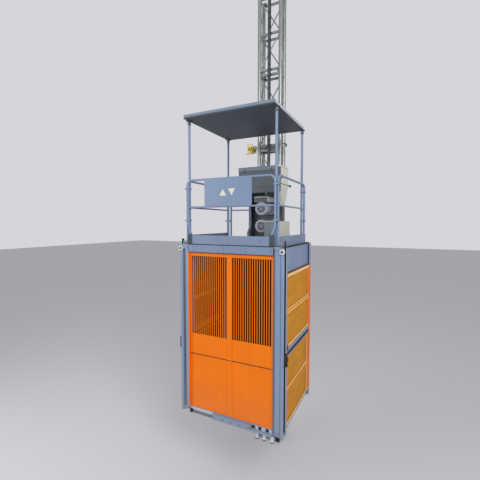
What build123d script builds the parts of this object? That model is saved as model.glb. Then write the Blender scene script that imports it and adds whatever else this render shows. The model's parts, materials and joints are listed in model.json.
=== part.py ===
from build123d import *
import math
import os

# Lift shaft hoist: a car that climbs a lattice mast by rack and pinion.
# Millimetres. X runs to the right, Y runs from the car to the mast, Z is up.
# The origin is the middle of the mast's foot, on the floor.

# Mast and rack
RACK_MODULE = 8.0
TEETH_PER_SECTION = 60
SECTION_COUNT = 6
MAST_WIDTH = 450.0
MAST_DEPTH = 220.0
MAST_TUBE_RADIUS = 38.0
MAST_TUBE_WALL = 4.5
MAST_BAR_THICKNESS = 30.0
MAST_BAR_HEIGHT = 42.0
MAST_SIDE_BAR_THICKNESS = 18.0
MAST_END_BAR_OFFSET = 48.0
MAST_ROD_RADIUS = 12.0
JOINT_LUG = 34.0
JOINT_BOLT_RADIUS = 8.0
JOINT_BOLT_LENGTH = 96.0
JOINT_BOLT_HEAD_RADIUS = 13.0
JOINT_BOLT_HEAD_HEIGHT = 10.0
RACK_BODY_WIDTH = 60.0
RACK_FACE = 40.0
PRESSURE_ANGLE = math.radians(20)
DEDENDUM_FACTOR = 1.25

# Base frame and wall tie
BASE_HEIGHT = 100.0
BASE_BEAM_WIDTH = 90.0
BASE_BEAM_WALL = 6.0
FOOT_PLATE = 100.0
FOOT_PLATE_THICKNESS = 20.0
FOOT_HOLE_RADIUS = 11.0
FOOT_HOLE_SPACING = 64.0
TIE_HEIGHT = 6222.0
TIE_TUBE_RADIUS = 24.0
TIE_ARM_RADIUS = 19.0
TIE_LEFT_END = -590.0
TIE_RIGHT_END = 275.0
TIE_ARM_X = (-545.0, 100.0)
TIE_CLAMP_HEIGHT = 70.0
TIE_CLAMP_WALL = 14.0
TIE_SADDLE_GAP = 3.0
TIE_COUPLER = 72.0
WALL_FACE_Y = 300.0
WALL_PLATE = 160.0
WALL_PLATE_THICKNESS = 14.0
WALL_HOLE_SPACING = 100.0
WALL_HOLE_RADIUS = 9.0

# Car: place and main sizes
CAR_FOOT = 1330.0
CAR_GAP = 225.0
CAR_DEPTH = 1560.0
COLUMN_INNER = 756.0
COLUMN_OUTER = 927.0
FRONT_COLUMN_DEPTH = 170.0
REAR_COLUMN_DEPTH = 110.0
COLUMN_WALL = 4.0
COLUMN_STEP = 15.0
COLUMN_STEP_WIDTH = 18.0
COLUMN_GROOVE_WIDTH = 8.0
COLUMN_GROOVE_DEPTH = 12.0
COLUMN_TRACK_WIDTH = 47.0
COLUMN_FOOT_SLANT = 58.0
ROPE_SLOT_START = 14.0
ROPE_SLOT_WIDTH = 84.0
ROPE_SLOT_DEPTH = 27.0
GUIDE_GROOVE_WIDTH = 24.0
GUIDE_GROOVE_DEPTH = 40.0
GUIDE_LIP = 3.0
SILL_HEIGHT = 104.0
LOWER_PANEL_HEIGHT = 931.0
UPPER_PANEL_HEIGHT = 1748.0
FASCIA_HEIGHT = 126.0

# Floor and sill
FLOOR_PLATE_THICKNESS = 8.0
FLOOR_BEAM_HEIGHT = 100.0
FLOOR_BEAM_WIDTH = 60.0
FLOOR_BEAM_WALL = 5.0
FLOOR_JOISTS = 3
FLOOR_HALF_WIDTH = 880.0
SILL_DEPTH = 90.0
SILL_SETBACK = 22.0
SILL_WALL = 6.0
SILL_BAR_LEFT = -300.0
SILL_BAR_RIGHT = 390.0
SILL_BAR_HEIGHT = 92.0
SILL_BAR_THICKNESS = 34.0
SILL_BAR_DROP = 16.0
SILL_STRIP_HEIGHT = 34.0
SILL_STRIP_THICKNESS = 26.0
SILL_POCKET = 50.0
SILL_POCKET_X = (430.0, 545.0, 669.0)
BUFFER_X = (478.0, 604.0, 732.0)
BUFFER_RADIUS = 27.0
BUFFER_LENGTH = 120.0
BUFFER_NECK_RADIUS = 17.0
BUFFER_NECK_LENGTH = 26.0

# Front wall
PANEL_THICKNESS = 5.0
PANEL_SETBACK = 30.0
PANEL_RETURN = 34.0
PANEL_SEAM = 12.0
PANEL_HEAD_LAP = 40.0
STRIP_THICKNESS = 8.0
FOOT_STRIP = 26.0
WINDOW_SIDE = 33.0
WINDOW_CENTRE = 44.0
WINDOW_BOTTOM = 352.0
WINDOW_TOP = 67.0
SLOT_COUNT = 17
SLOT_WIDTH = 27.0

# Rear wall and roof
REAR_WALL_THICKNESS = 5.0
REAR_WALL_RETURN = 32.0
DECK_THICKNESS = 12.0
DECK_HALF_WIDTH = 884.0
FASCIA_THICKNESS = 4.0
TOE_HEIGHT = 154.0
TOE_THICKNESS = 4.0
TOE_GAP = 8.0
TOE_FRONT_HALF = 724.0
TOE_SIDE_X = 834.0
TOE_END_MARGIN = 62.0

# Guard rails, sign and canopy
GUARD_HEIGHT = 1083.0
GUARD_MID_HEIGHT = 620.0
GUARD_TUBE_RADIUS = 17.0
GUARD_TUBE_WALL = 3.0
MID_RAIL_RADIUS = 13.5
GUARD_CORNER_RADIUS = 95.0
GUARD_SETBACK = 30.0
GUARD_FRONT_HALF = 776.0
GUARD_SIDE_X = 812.0
GUARD_SIDE_START = 56.0
GUARD_SIDE_END = 1486.0
GUARD_FOOT_SHIFT = 58.0
GUARD_KNEE_TOP = 316.0
GUARD_KNEE_BOTTOM = 160.0
GUARD_REAR_INNER = -300.0
GUARD_REAR_SETBACK = 50.0
SIGN_HALF_WIDTH = 420.0
SIGN_OFFSET = -22.0
SIGN_THICKNESS = 4.0
SIGN_RETURN = 16.0
GRIP_BAR_RADIUS = 7.0
GRIP_BAR_LENGTH = 500.0
GRIP_BAR_DROP = 130.0
GRIP_RADIUS = 15.0
GRIP_LENGTH = 60.0
CANOPY_CLEAR = 2063.0
CANOPY_EDGE = 64.0
CANOPY_HALF_WIDTH = 796.0
CANOPY_OVERHANG = 57.0
CANOPY_LENGTH = 1548.0
CANOPY_FRAME_WIDTH = 24.0
CANOPY_SHEET = 2.0
POST_RADIUS = 20.0
POST_WALL = 3.0
POST_X = 775.0
POST_FRONT_Y = 72.0
POST_REAR_Y = 1446.0

# Side doors
LEAF_BOTTOM = 128.0
LOWER_LEAF_HEIGHT = 1117.0
UPPER_LEAF_HEIGHT = 1239.0
LEAF_MEETING_GAP = 4.0
LEAF_THICKNESS = 30.0
LEAF_INSET = 1.0
LEAF_END_GAP = 5.0
LEAF_TONGUE = 18.0
LEAF_TONGUE_CLEARANCE = 0.3
LEAF_FRONT_STILE = 20.0
LEAF_REAR_STILE = 140.0
LEAF_RAIL = 46.0
LEAF_UPPER_MEETING_RAIL = 121.0
LEAF_LOWER_MEETING_RAIL = 32.0
LEAF_MID_RAIL = 70.0
LEAF_GROOVE_HEIGHT = 24.0
LEAF_GROOVE_DEPTH = 9.0
NOSING_HEIGHT = 26.0
NOSING_INSET = 3.0
MESH_THICKNESS = 4.0
MESH_BAR = 6.0
MESH_COLUMNS = 18
MESH_ROWS = 8
HEADER_LAP = 22.0
HEADER_THICKNESS = 36.0
HEADER_SHEET = 4.0
HEADER_LEAF_GAP = 9.0
PULLEY_RADIUS = 41.0
PULLEY_GROOVE = 5.0
PULLEY_WIDTH = 22.0
PULLEY_BORE_RADIUS = 12.0
PULLEY_X = 903.0
PULLEY_DROP = 54.0
PULLEY_SIDE_GAP = 4.0
PULLEY_CAP_RADIUS = 17.0
PULLEY_CAP_THICKNESS = 4.0
RUNNING_CLEARANCE = 0.05
LOCK_HEIGHT = 190.0
LOCK_WIDTH = 104.0
LOCK_DEPTH = 26.0
LOCK_RISE = 50.0
LOCK_START = 8.0
LOCK_PIVOT_DROP = 42.0
LOCK_PIVOT_RADIUS = 9.0
LEVER_LENGTH = 120.0
LEVER_WIDTH = 22.0
LEVER_THICKNESS = 8.0
LEVER_HUB_RADIUS = 17.0
LEVER_KNOB_RADIUS = 14.0
LEVER_GAP = 0.5

# Mast side frame, machine plate, drive
UPRIGHT_X = 330.0
UPRIGHT_WIDTH = 60.0
UPRIGHT_DEPTH = 80.0
UPRIGHT_WALL = 5.0
UPRIGHT_START = 70.0
UPRIGHT_ABOVE_DECK = 1320.0
CROSS_MEMBER_HEIGHT = 80.0
GUIDE_PLATE_HEIGHT = 340.0
PLATE_THICKNESS = 20.0
PLATE_MARGIN = 40.0
ROLLER_THROAT = 35.0
ROLLER_WIDTH = 70.0
ROLLER_GAP = 0.3
ROLLER_AXLE_RADIUS = 15.0
ROLLER_COLLAR_RADIUS = 23.0
ROLLER_COLLAR_END = 6.0
LOWER_ROLLER_HEIGHT = 240.0
UPPER_ROLLER_DROP = 110.0
PINION_TEETH = 18
PINION_FACE = 34.0
PINION_BACKLASH = 0.8
PINION_SHAFT_RADIUS = 25.0
PINION_SHAFT_SEAT = 36.0
PLATE_HOLE_RADIUS = 42.0
LOWER_DRIVE_HEIGHT = 299.0
DRIVE_SPACING = 327.0
GEARBOX_WIDTH = 205.0
GEARBOX_HEIGHT = 210.0
GEARBOX_DEPTH = 150.0
GEARBOX_FILLET = 18.0
MOTOR_RADIUS = 100.0
MOTOR_LENGTH = 265.0
MOTOR_FIN = 6.0
MOTOR_FIN_COUNT = 24
MOTOR_FIN_THICKNESS = 5.0
MOTOR_END = 30.0
NECK_WIDTH = 150.0
NECK_LENGTH = 130.0
TOP_BOX_WIDTH = 262.0
TOP_BOX_HEIGHT = 92.0
TOP_BOX_LENGTH = 370.0
TOP_BOX_OVERHANG = 12.0
TOP_BOX_GAP = 4.0
SIDE_BOX_REACH = 202.0
SIDE_BOX_HEIGHT = 210.0
SIDE_BOX_LENGTH = 140.0
SIDE_BOX_GAP = 6.0
COWL_RADIUS = 122.0
COWL_LENGTH = 108.0
COWL_WALL = 4.0
COWL_LAP = 16.0
COWL_OPENING_RADIUS = 76.0
COWL_RING_COUNT = 2
COWL_RING_WIDTH = 6.0
COWL_SPOKES = 6
COWL_HUB_RADIUS = 18.0
COWL_EDGE = 14.0
SAFETY_RADIUS = 96.0
SAFETY_LENGTH = 190.0
HOOD_LEFT = -310.0
HOOD_RIGHT = 464.0
HOOD_FRONT = 1000.0
HOOD_DEPTH = 400.0
HOOD_HEIGHT = 470.0
HOOD_CLEAR = 911.0
HOOD_WALL = 3.0
HOOD_ARM = 40.0
HOOD_ARM_X = 240.0
CABINET_WIDTH = 60.0
CABINET_DROP = 227.0
CABINET_WALL = 3.0
CABINET_FRONT_TAPER = 140.0
CABINET_REAR_TAPER = 175.0
CABINET_REAR_KNEE = 100.0
JUNCTION_LEFT = 327.0
JUNCTION_WIDTH = 231.0
JUNCTION_DEPTH = 719.0
JUNCTION_HEIGHT = 385.0
JUNCTION_WALL = 3.0
JUNCTION_FRONT = 695.0
JUNCTION_DOOR_THICKNESS = 14.0
JUNCTION_DOOR_MARGIN = 8.0
JUNCTION_HINGE_RADIUS = 6.0
JUNCTION_HINGE_GAP = 1.0

# Derived places
SECTION_LENGTH = math.pi * RACK_MODULE * TEETH_PER_SECTION
RACK_PITCH = math.pi * RACK_MODULE
HALF_WIDTH = MAST_WIDTH / 2
HALF_DEPTH = MAST_DEPTH / 2
TIE_TUBE_Y = HALF_DEPTH + MAST_TUBE_RADIUS + TIE_CLAMP_WALL + TIE_TUBE_RADIUS
CAR_REAR = -HALF_DEPTH - CAR_GAP
CAR_FRONT = CAR_REAR - CAR_DEPTH
PANEL_FOOT = CAR_FOOT + SILL_HEIGHT
PANEL_JOINT = PANEL_FOOT + LOWER_PANEL_HEIGHT
PANEL_TOP = PANEL_JOINT + UPPER_PANEL_HEIGHT
DECK_TOP = PANEL_TOP + FASCIA_HEIGHT
COLUMN_TOP = DECK_TOP - DECK_THICKNESS
FRONT_COLUMN_END = CAR_FRONT + FRONT_COLUMN_DEPTH
REAR_COLUMN_START = CAR_REAR - REAR_COLUMN_DEPTH
FLOOR_BASE = PANEL_FOOT - FLOOR_PLATE_THICKNESS
LEAF_OUTER = COLUMN_OUTER - LEAF_INSET
LEAF_INNER = LEAF_OUTER - LEAF_THICKNESS
LEAF_MIDDLE = (LEAF_OUTER + LEAF_INNER) / 2
LOWER_LEAF_FOOT = CAR_FOOT + LEAF_BOTTOM
LOWER_LEAF_TOP = LOWER_LEAF_FOOT + LOWER_LEAF_HEIGHT
UPPER_LEAF_FOOT = LOWER_LEAF_TOP + LEAF_MEETING_GAP
UPPER_LEAF_TOP = UPPER_LEAF_FOOT + UPPER_LEAF_HEIGHT
LEAF_FRONT = FRONT_COLUMN_END + LEAF_END_GAP
LEAF_REAR = REAR_COLUMN_START - LEAF_END_GAP
PLATE_FRONT = CAR_REAR + UPRIGHT_DEPTH
PLATE_REAR = PLATE_FRONT + PLATE_THICKNESS
PLATE_HALF_WIDTH = UPRIGHT_X + UPRIGHT_WIDTH / 2
UPRIGHT_FOOT = CAR_FOOT + UPRIGHT_START
UPRIGHT_TOP = DECK_TOP + UPRIGHT_ABOVE_DECK
RACK_FRONT = -HALF_DEPTH - MAST_BAR_THICKNESS / 2 - RACK_FACE
PITCH_LINE_X = RACK_BODY_WIDTH / 2 - RACK_MODULE
PINION_RADIUS = RACK_MODULE * PINION_TEETH / 2
PINION_X = PITCH_LINE_X + PINION_RADIUS
ROLLER_X = HALF_WIDTH + MAST_TUBE_RADIUS + ROLLER_GAP + ROLLER_THROAT
LOWER_ROLLER_Z = CAR_FOOT + LOWER_ROLLER_HEIGHT
UPPER_ROLLER_Z = UPRIGHT_TOP - UPPER_ROLLER_DROP
DRIVE_Z = [DECK_TOP + LOWER_DRIVE_HEIGHT + step * DRIVE_SPACING for step in range(3)]
CANOPY_FOOT = DECK_TOP + CANOPY_CLEAR
GUARD_FRONT_Y = CAR_FRONT + GUARD_SETBACK
LOCK_TOP = LOWER_LEAF_TOP + LOCK_RISE
HOOD_FOOT = DECK_TOP + HOOD_CLEAR
SIDES = (("left", -1), ("right", 1))


def block(x0, x1, y0, y1, z0, z1):
    """Box between two corners, given in any order along X."""
    middle = Pos((x0 + x1) / 2, (y0 + y1) / 2, (z0 + z1) / 2)
    return middle * Box(abs(x1 - x0), abs(y1 - y0), abs(z1 - z0))


def tube_block(x0, x1, y0, y1, z0, z1, wall, along):
    """Rectangular tube between two corners, open along one axis."""
    a, b = sorted((x0, x1))
    inner = {
        "x": (a - 1, b + 1, y0 + wall, y1 - wall, z0 + wall, z1 - wall),
        "y": (a + wall, b - wall, y0 - 1, y1 + 1, z0 + wall, z1 - wall),
        "z": (a + wall, b - wall, y0 + wall, y1 - wall, z0 - 1, z1 + 1),
    }[along]
    return block(a, b, y0, y1, z0, z1) - block(*inner)


def disc_y(x, z, radius, y0, y1):
    """Cylinder along Y."""
    return Pos(x, (y0 + y1) / 2, z) * Rot(90, 0, 0) * Cylinder(radius, abs(y1 - y0))


def disc_x(y, z, radius, x0, x1):
    """Cylinder along X."""
    return Pos((x0 + x1) / 2, y, z) * Rot(0, 90, 0) * Cylinder(radius, abs(x1 - x0))


def rod(start, end, radius):
    """Round bar between two points."""
    start, end = Vector(*start), Vector(*end)
    plane = Plane(origin=start, z_dir=(end - start).normalized())
    bottom = (Align.CENTER, Align.CENTER, Align.MIN)
    return plane * Cylinder(radius, (end - start).length, align=bottom)


def prism_y(points, y0, y1):
    """Outline in X and Z, drawn out from y0 to y1."""
    plane = Plane(origin=(0, y1, 0), x_dir=(1, 0, 0), z_dir=(0, -1, 0))
    return extrude(plane * make_face(Polyline(*points, close=True)), y1 - y0)


def prism_z(points, z0, z1):
    """Outline in X and Y, drawn up from z0 to z1."""
    return extrude(Pos(0, 0, z0) * make_face(Polyline(*points, close=True)), z1 - z0)


def fused(pieces):
    """One solid from several that meet."""
    return pieces[0].fuse(*pieces[1:]) if len(pieces) > 1 else pieces[0]


def bent_tube(points, radii, radius, wall):
    """Round tube along straight runs joined by arcs."""
    path = FilletPolyline(*points, radius=radii)
    section = Plane(origin=path @ 0, z_dir=path % 0) * (Circle(radius) - Circle(radius - wall))
    return sweep(section, path=path)


# Mast
def mast_section():
    """First section: four tubes, bars at both ends and the middle, one diagonal in each bay."""
    foot = BASE_HEIGHT
    top = foot + SECTION_LENGTH
    middle = (foot + top) / 2
    levels = (foot + MAST_END_BAR_OFFSET, middle, top - MAST_END_BAR_OFFSET)
    corners = [(x, y) for x in (-HALF_WIDTH, HALF_WIDTH) for y in (-HALF_DEPTH, HALF_DEPTH)]
    pieces = [Pos(x, y, middle) * Cylinder(MAST_TUBE_RADIUS, SECTION_LENGTH) for x, y in corners]
    for level in levels:
        low = level - MAST_BAR_HEIGHT / 2
        high = level + MAST_BAR_HEIGHT / 2
        for y in (-HALF_DEPTH, HALF_DEPTH):
            half = MAST_BAR_THICKNESS / 2
            pieces.append(block(-HALF_WIDTH, HALF_WIDTH, y - half, y + half, low, high))
        for x in (-HALF_WIDTH, HALF_WIDTH):
            half = MAST_SIDE_BAR_THICKNESS / 2
            pieces.append(block(x - half, x + half, -HALF_DEPTH, HALF_DEPTH, low, high))
    for end in (levels[0], levels[2]):
        pieces.append(rod((-HALF_WIDTH, -HALF_DEPTH, end), (HALF_WIDTH, -HALF_DEPTH, middle),
                          MAST_ROD_RADIUS))
        pieces.append(rod((HALF_WIDTH, HALF_DEPTH, end), (-HALF_WIDTH, HALF_DEPTH, middle), MAST_ROD_RADIUS))
        for x in (-HALF_WIDTH, HALF_WIDTH):
            pieces.append(rod((x, HALF_DEPTH, end), (x, -HALF_DEPTH, middle), MAST_SIDE_BAR_THICKNESS / 2))
    for x, y in joint_lug_places():
        for low, high in ((foot, foot + JOINT_LUG), (top - JOINT_LUG, top)):
            outer = math.copysign(HALF_WIDTH, x)
            inner = x - math.copysign(JOINT_LUG / 2, x)
            pieces.append(block(outer, inner, y - JOINT_LUG / 2, y + JOINT_LUG / 2, low, high))
    section = fused(pieces)
    for x, y in corners:
        section -= Pos(x, y, middle) * Cylinder(MAST_TUBE_RADIUS - MAST_TUBE_WALL, SECTION_LENGTH + 2)
    for x, y in joint_lug_places():
        section -= Pos(x, y, middle) * Cylinder(JOINT_BOLT_RADIUS, SECTION_LENGTH + 2)
    return section


def joint_lug_places():
    """Bolt axes of a section joint, inside the bars beside each corner tube."""
    x = HALF_WIDTH - MAST_TUBE_RADIUS - JOINT_LUG / 2
    y = HALF_DEPTH - MAST_BAR_THICKNESS / 2 - JOINT_LUG / 2
    return [(sx * x, sy * y) for sx in (-1, 1) for sy in (-1, 1)]


def joint_bolts():
    """Headed bolts through the lugs of each joint between two sections."""
    bolts = []
    for joint in range(1, SECTION_COUNT):
        level = BASE_HEIGHT + joint * SECTION_LENGTH
        for x, y in joint_lug_places():
            shank = Pos(x, y, level) * Cylinder(JOINT_BOLT_RADIUS, JOINT_BOLT_LENGTH)
            for side in (-1, 1):
                seat = level + side * (JOINT_LUG + JOINT_BOLT_HEAD_HEIGHT / 2)
                shank += Pos(x, y, seat) * Cylinder(JOINT_BOLT_HEAD_RADIUS, JOINT_BOLT_HEAD_HEIGHT)
            bolts.append(shank)
    return bolts


def rack():
    """First rack length: straight-sided teeth that face +X."""
    tip = RACK_BODY_WIDTH / 2
    root = PITCH_LINE_X - DEDENDUM_FACTOR * RACK_MODULE
    slope = math.tan(PRESSURE_ANGLE)
    tip_half = RACK_PITCH / 4 - RACK_MODULE * slope
    root_half = RACK_PITCH / 4 + DEDENDUM_FACTOR * RACK_MODULE * slope
    points = [(-RACK_BODY_WIDTH / 2, BASE_HEIGHT), (root, BASE_HEIGHT)]
    for tooth in range(TEETH_PER_SECTION):
        middle = BASE_HEIGHT + (tooth + 0.5) * RACK_PITCH
        points += [(root, middle - root_half), (tip, middle - tip_half)]
        points += [(tip, middle + tip_half), (root, middle + root_half)]
    top = BASE_HEIGHT + SECTION_LENGTH
    points += [(root, top), (-RACK_BODY_WIDTH / 2, top)]
    return prism_y(points, RACK_FRONT, RACK_FRONT + RACK_FACE)


def base_frame():
    """Two long beams and two cross beams under the mast tubes, with a drilled plate at each end inside."""
    beam = BASE_BEAM_WIDTH / 2
    reach_y = HALF_DEPTH + beam
    inner_x = HALF_WIDTH - beam
    inner_y = HALF_DEPTH - beam
    pieces = []
    for x in (-HALF_WIDTH, HALF_WIDTH):
        pieces.append(tube_block(x - beam, x + beam, -reach_y, reach_y, 0, BASE_HEIGHT, BASE_BEAM_WALL, "y"))
    for y in (-HALF_DEPTH, HALF_DEPTH):
        pieces.append(tube_block(-inner_x, inner_x, y - beam, y + beam, 0, BASE_HEIGHT, BASE_BEAM_WALL, "x"))
    for side in (-1, 1):
        pieces.append(block(side * inner_x, side * (inner_x - FOOT_PLATE), -inner_y, inner_y,
                            0, FOOT_PLATE_THICKNESS))
    frame = fused(pieces)
    for x, y in foot_places():
        frame -= Pos(x, y, FOOT_PLATE_THICKNESS / 2) * Cylinder(FOOT_HOLE_RADIUS, FOOT_PLATE_THICKNESS + 2)
    return frame


def foot_places():
    """Anchor bolt axes of the base frame."""
    x = HALF_WIDTH - BASE_BEAM_WIDTH / 2 - FOOT_PLATE / 2
    y = FOOT_HOLE_SPACING / 2
    return [(sx * x, sy * y) for sx in (-1, 1) for sy in (-1, 1)]


def tie_tubes():
    """Cross tube of the wall tie and its two arms."""
    tubes = [disc_x(TIE_TUBE_Y, TIE_HEIGHT, TIE_TUBE_RADIUS, TIE_LEFT_END, TIE_RIGHT_END)]
    for x in TIE_ARM_X:
        tubes.append(disc_y(x, TIE_HEIGHT, TIE_ARM_RADIUS, TIE_TUBE_Y,
                            WALL_FACE_Y - WALL_PLATE_THICKNESS / 2))
    return tubes


def tie_couplers():
    """Clamp round each crossing of the wall tie's tubes."""
    couplers = []
    for x in TIE_ARM_X:
        half = TIE_COUPLER / 2
        coupler = block(x - half, x + half, TIE_TUBE_Y - half, TIE_TUBE_Y + half,
                        TIE_HEIGHT - half, TIE_HEIGHT + half)
        coupler = fillet(coupler.edges().filter_by(Axis.X), TIE_COUPLER / 5)
        couplers.append(coupler.cut(*tie_tubes()))
    return couplers


def wall_tie():
    """Cross tube clamped to the rear mast tubes, with two arms to drilled wall plates."""
    low = TIE_HEIGHT - TIE_CLAMP_HEIGHT / 2
    high = TIE_HEIGHT + TIE_CLAMP_HEIGHT / 2
    pieces = tie_tubes()
    for x in (-HALF_WIDTH, HALF_WIDTH):
        jaw = MAST_TUBE_RADIUS
        saddle = HALF_DEPTH + MAST_BAR_THICKNESS / 2 + TIE_SADDLE_GAP
        pieces.append(block(x - jaw, x + jaw, saddle, TIE_TUBE_Y, low, high))
    for x in TIE_ARM_X:
        plate = block(x - WALL_PLATE / 2, x + WALL_PLATE / 2, WALL_FACE_Y - WALL_PLATE_THICKNESS, WALL_FACE_Y,
                      TIE_HEIGHT - WALL_PLATE / 2, TIE_HEIGHT + WALL_PLATE / 2)
        for dx in (-1, 1):
            for dz in (-1, 1):
                plate -= disc_y(x + dx * WALL_HOLE_SPACING / 2, TIE_HEIGHT + dz * WALL_HOLE_SPACING / 2,
                                WALL_HOLE_RADIUS, WALL_FACE_Y - WALL_PLATE_THICKNESS - 1, WALL_FACE_Y + 1)
        pieces.append(plate)
    tie = fused(pieces)
    for x in (-HALF_WIDTH, HALF_WIDTH):
        tie -= Pos(x, HALF_DEPTH, TIE_HEIGHT) * Cylinder(MAST_TUBE_RADIUS, TIE_CLAMP_HEIGHT + 2)
    return tie


# Car shell
def front_column(side):
    """Folded front corner column with a rope slot outside and a guide groove towards the door."""
    y = CAR_FRONT
    end = FRONT_COLUMN_END
    step = COLUMN_INNER + COLUMN_STEP_WIDTH
    track = COLUMN_OUTER - COLUMN_TRACK_WIDTH
    slot_floor = COLUMN_OUTER - ROPE_SLOT_DEPTH
    slot_start = y + ROPE_SLOT_START
    slot_end = slot_start + ROPE_SLOT_WIDTH
    lip = COLUMN_OUTER - GUIDE_LIP
    groove_x = lip - GUIDE_GROOVE_WIDTH
    groove_floor = end - GUIDE_GROOVE_DEPTH
    outline = [
        (COLUMN_INNER, y + COLUMN_STEP), (step, y + COLUMN_STEP), (step, y),
        (track - COLUMN_GROOVE_WIDTH, y), (track - COLUMN_GROOVE_WIDTH, y + COLUMN_GROOVE_DEPTH),
        (track, y + COLUMN_GROOVE_DEPTH), (track, y), (COLUMN_OUTER, y),
        (COLUMN_OUTER, slot_start), (slot_floor, slot_start), (slot_floor, slot_end),
        (COLUMN_OUTER, slot_end),
        (COLUMN_OUTER, end), (lip, end), (lip, groove_floor), (groove_x, groove_floor), (groove_x, end),
        (COLUMN_INNER, end),
    ]
    column = prism_z([(side * px, py) for px, py in outline], CAR_FOOT, COLUMN_TOP)
    wall = COLUMN_WALL
    main_right = track - COLUMN_GROOVE_WIDTH - wall
    cavities = [
        (step + wall, main_right, y + wall, end - wall),
        (COLUMN_INNER + wall, step + wall, y + COLUMN_STEP + wall, end - wall),
        (main_right, slot_floor - wall, y + COLUMN_GROOVE_DEPTH + wall, groove_floor - wall),
    ]
    for x0, x1, y0, y1 in cavities:
        column -= block(side * x0, side * x1, y0, y1, CAR_FOOT - 1, COLUMN_TOP + 1)
    slant = [(side * (COLUMN_INNER - 1), CAR_FOOT - 1), (side * COLUMN_OUTER, CAR_FOOT - 1),
             (side * COLUMN_OUTER, CAR_FOOT), (side * (COLUMN_INNER - 1), CAR_FOOT + COLUMN_FOOT_SLANT)]
    column -= prism_y(slant, y - 1, end + 1)
    axle_start = y - PULLEY_SIDE_GAP - PULLEY_WIDTH - PULLEY_SIDE_GAP - PULLEY_CAP_THICKNESS
    pulley_z = COLUMN_TOP - PULLEY_DROP
    column += disc_y(side * PULLEY_X, pulley_z, PULLEY_BORE_RADIUS - RUNNING_CLEARANCE, axle_start, y + wall)
    column += disc_y(side * PULLEY_X, pulley_z, PULLEY_CAP_RADIUS, axle_start,
                     axle_start + PULLEY_CAP_THICKNESS)
    column += disc_y(side * PULLEY_X, pulley_z, PULLEY_CAP_RADIUS, y - PULLEY_SIDE_GAP, y)
    return column


def rear_column(side):
    """Rear corner column with a guide groove towards the door."""
    start = REAR_COLUMN_START
    lip = COLUMN_OUTER - GUIDE_LIP
    groove_x = lip - GUIDE_GROOVE_WIDTH
    groove_floor = start + GUIDE_GROOVE_DEPTH
    outline = [
        (COLUMN_INNER, start), (groove_x, start), (groove_x, groove_floor), (lip, groove_floor), (lip, start),
        (COLUMN_OUTER, start), (COLUMN_OUTER, CAR_REAR), (COLUMN_INNER, CAR_REAR),
    ]
    column = prism_z([(side * px, py) for px, py in outline], CAR_FOOT, COLUMN_TOP)
    wall = COLUMN_WALL
    cavities = [
        (COLUMN_INNER + wall, groove_x - wall, start + wall, CAR_REAR - wall),
        (groove_x - wall, COLUMN_OUTER - wall, groove_floor + wall, CAR_REAR - wall),
    ]
    for x0, x1, y0, y1 in cavities:
        column -= block(side * x0, side * x1, y0, y1, CAR_FOOT - 1, COLUMN_TOP + 1)
    return column


def front_sheet(low, high):
    """Full-width front sheet with turned-in edges and flat strips down its sides and its middle."""
    face = CAR_FRONT + PANEL_SETBACK
    front, rear = face + STRIP_THICKNESS, face + PANEL_RETURN
    wall = PANEL_THICKNESS
    sheet = block(-COLUMN_INNER, COLUMN_INNER, front, rear, low, high)
    sheet -= block(-COLUMN_INNER + wall, COLUMN_INNER - wall, front + wall, rear + 1, low + wall, high - wall)
    inner = COLUMN_INNER - WINDOW_SIDE
    for x0, x1 in ((-COLUMN_INNER, -inner), (-WINDOW_CENTRE, WINDOW_CENTRE), (inner, COLUMN_INNER)):
        sheet += block(x0, x1, face, front, low, high)
    return sheet


def cross_strip(low, high):
    """Flat strip across the front wall, between its side strips."""
    face = CAR_FRONT + PANEL_SETBACK
    inner = COLUMN_INNER - WINDOW_SIDE
    return block(-inner, inner, face, face + STRIP_THICKNESS, low, high)


def front_panel_lower():
    """Plain lower half of the front wall."""
    strip = cross_strip(PANEL_FOOT, PANEL_FOOT + FOOT_STRIP)
    return front_sheet(PANEL_FOOT, PANEL_JOINT - PANEL_SEAM / 2) + strip


def front_panel_upper():
    """Upper half of the front wall, with two windows of upright slats and its head behind the fascia."""
    head = PANEL_TOP + PANEL_HEAD_LAP
    sheet = front_sheet(PANEL_JOINT + PANEL_SEAM / 2, head) + cross_strip(PANEL_TOP - WINDOW_TOP, head)
    window_left, window_right = WINDOW_CENTRE, COLUMN_INNER - WINDOW_SIDE
    front = CAR_FRONT + PANEL_SETBACK + STRIP_THICKNESS
    pitch = (window_right - window_left) / SLOT_COUNT
    slots = []
    for side in (-1, 1):
        for slot in range(SLOT_COUNT):
            middle = side * (window_left + (slot + 0.5) * pitch)
            slots.append(block(middle - SLOT_WIDTH / 2, middle + SLOT_WIDTH / 2,
                               front - 1, front + PANEL_THICKNESS + 1,
                               PANEL_JOINT + WINDOW_BOTTOM, PANEL_TOP - WINDOW_TOP))
    return sheet.cut(*slots)


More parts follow.
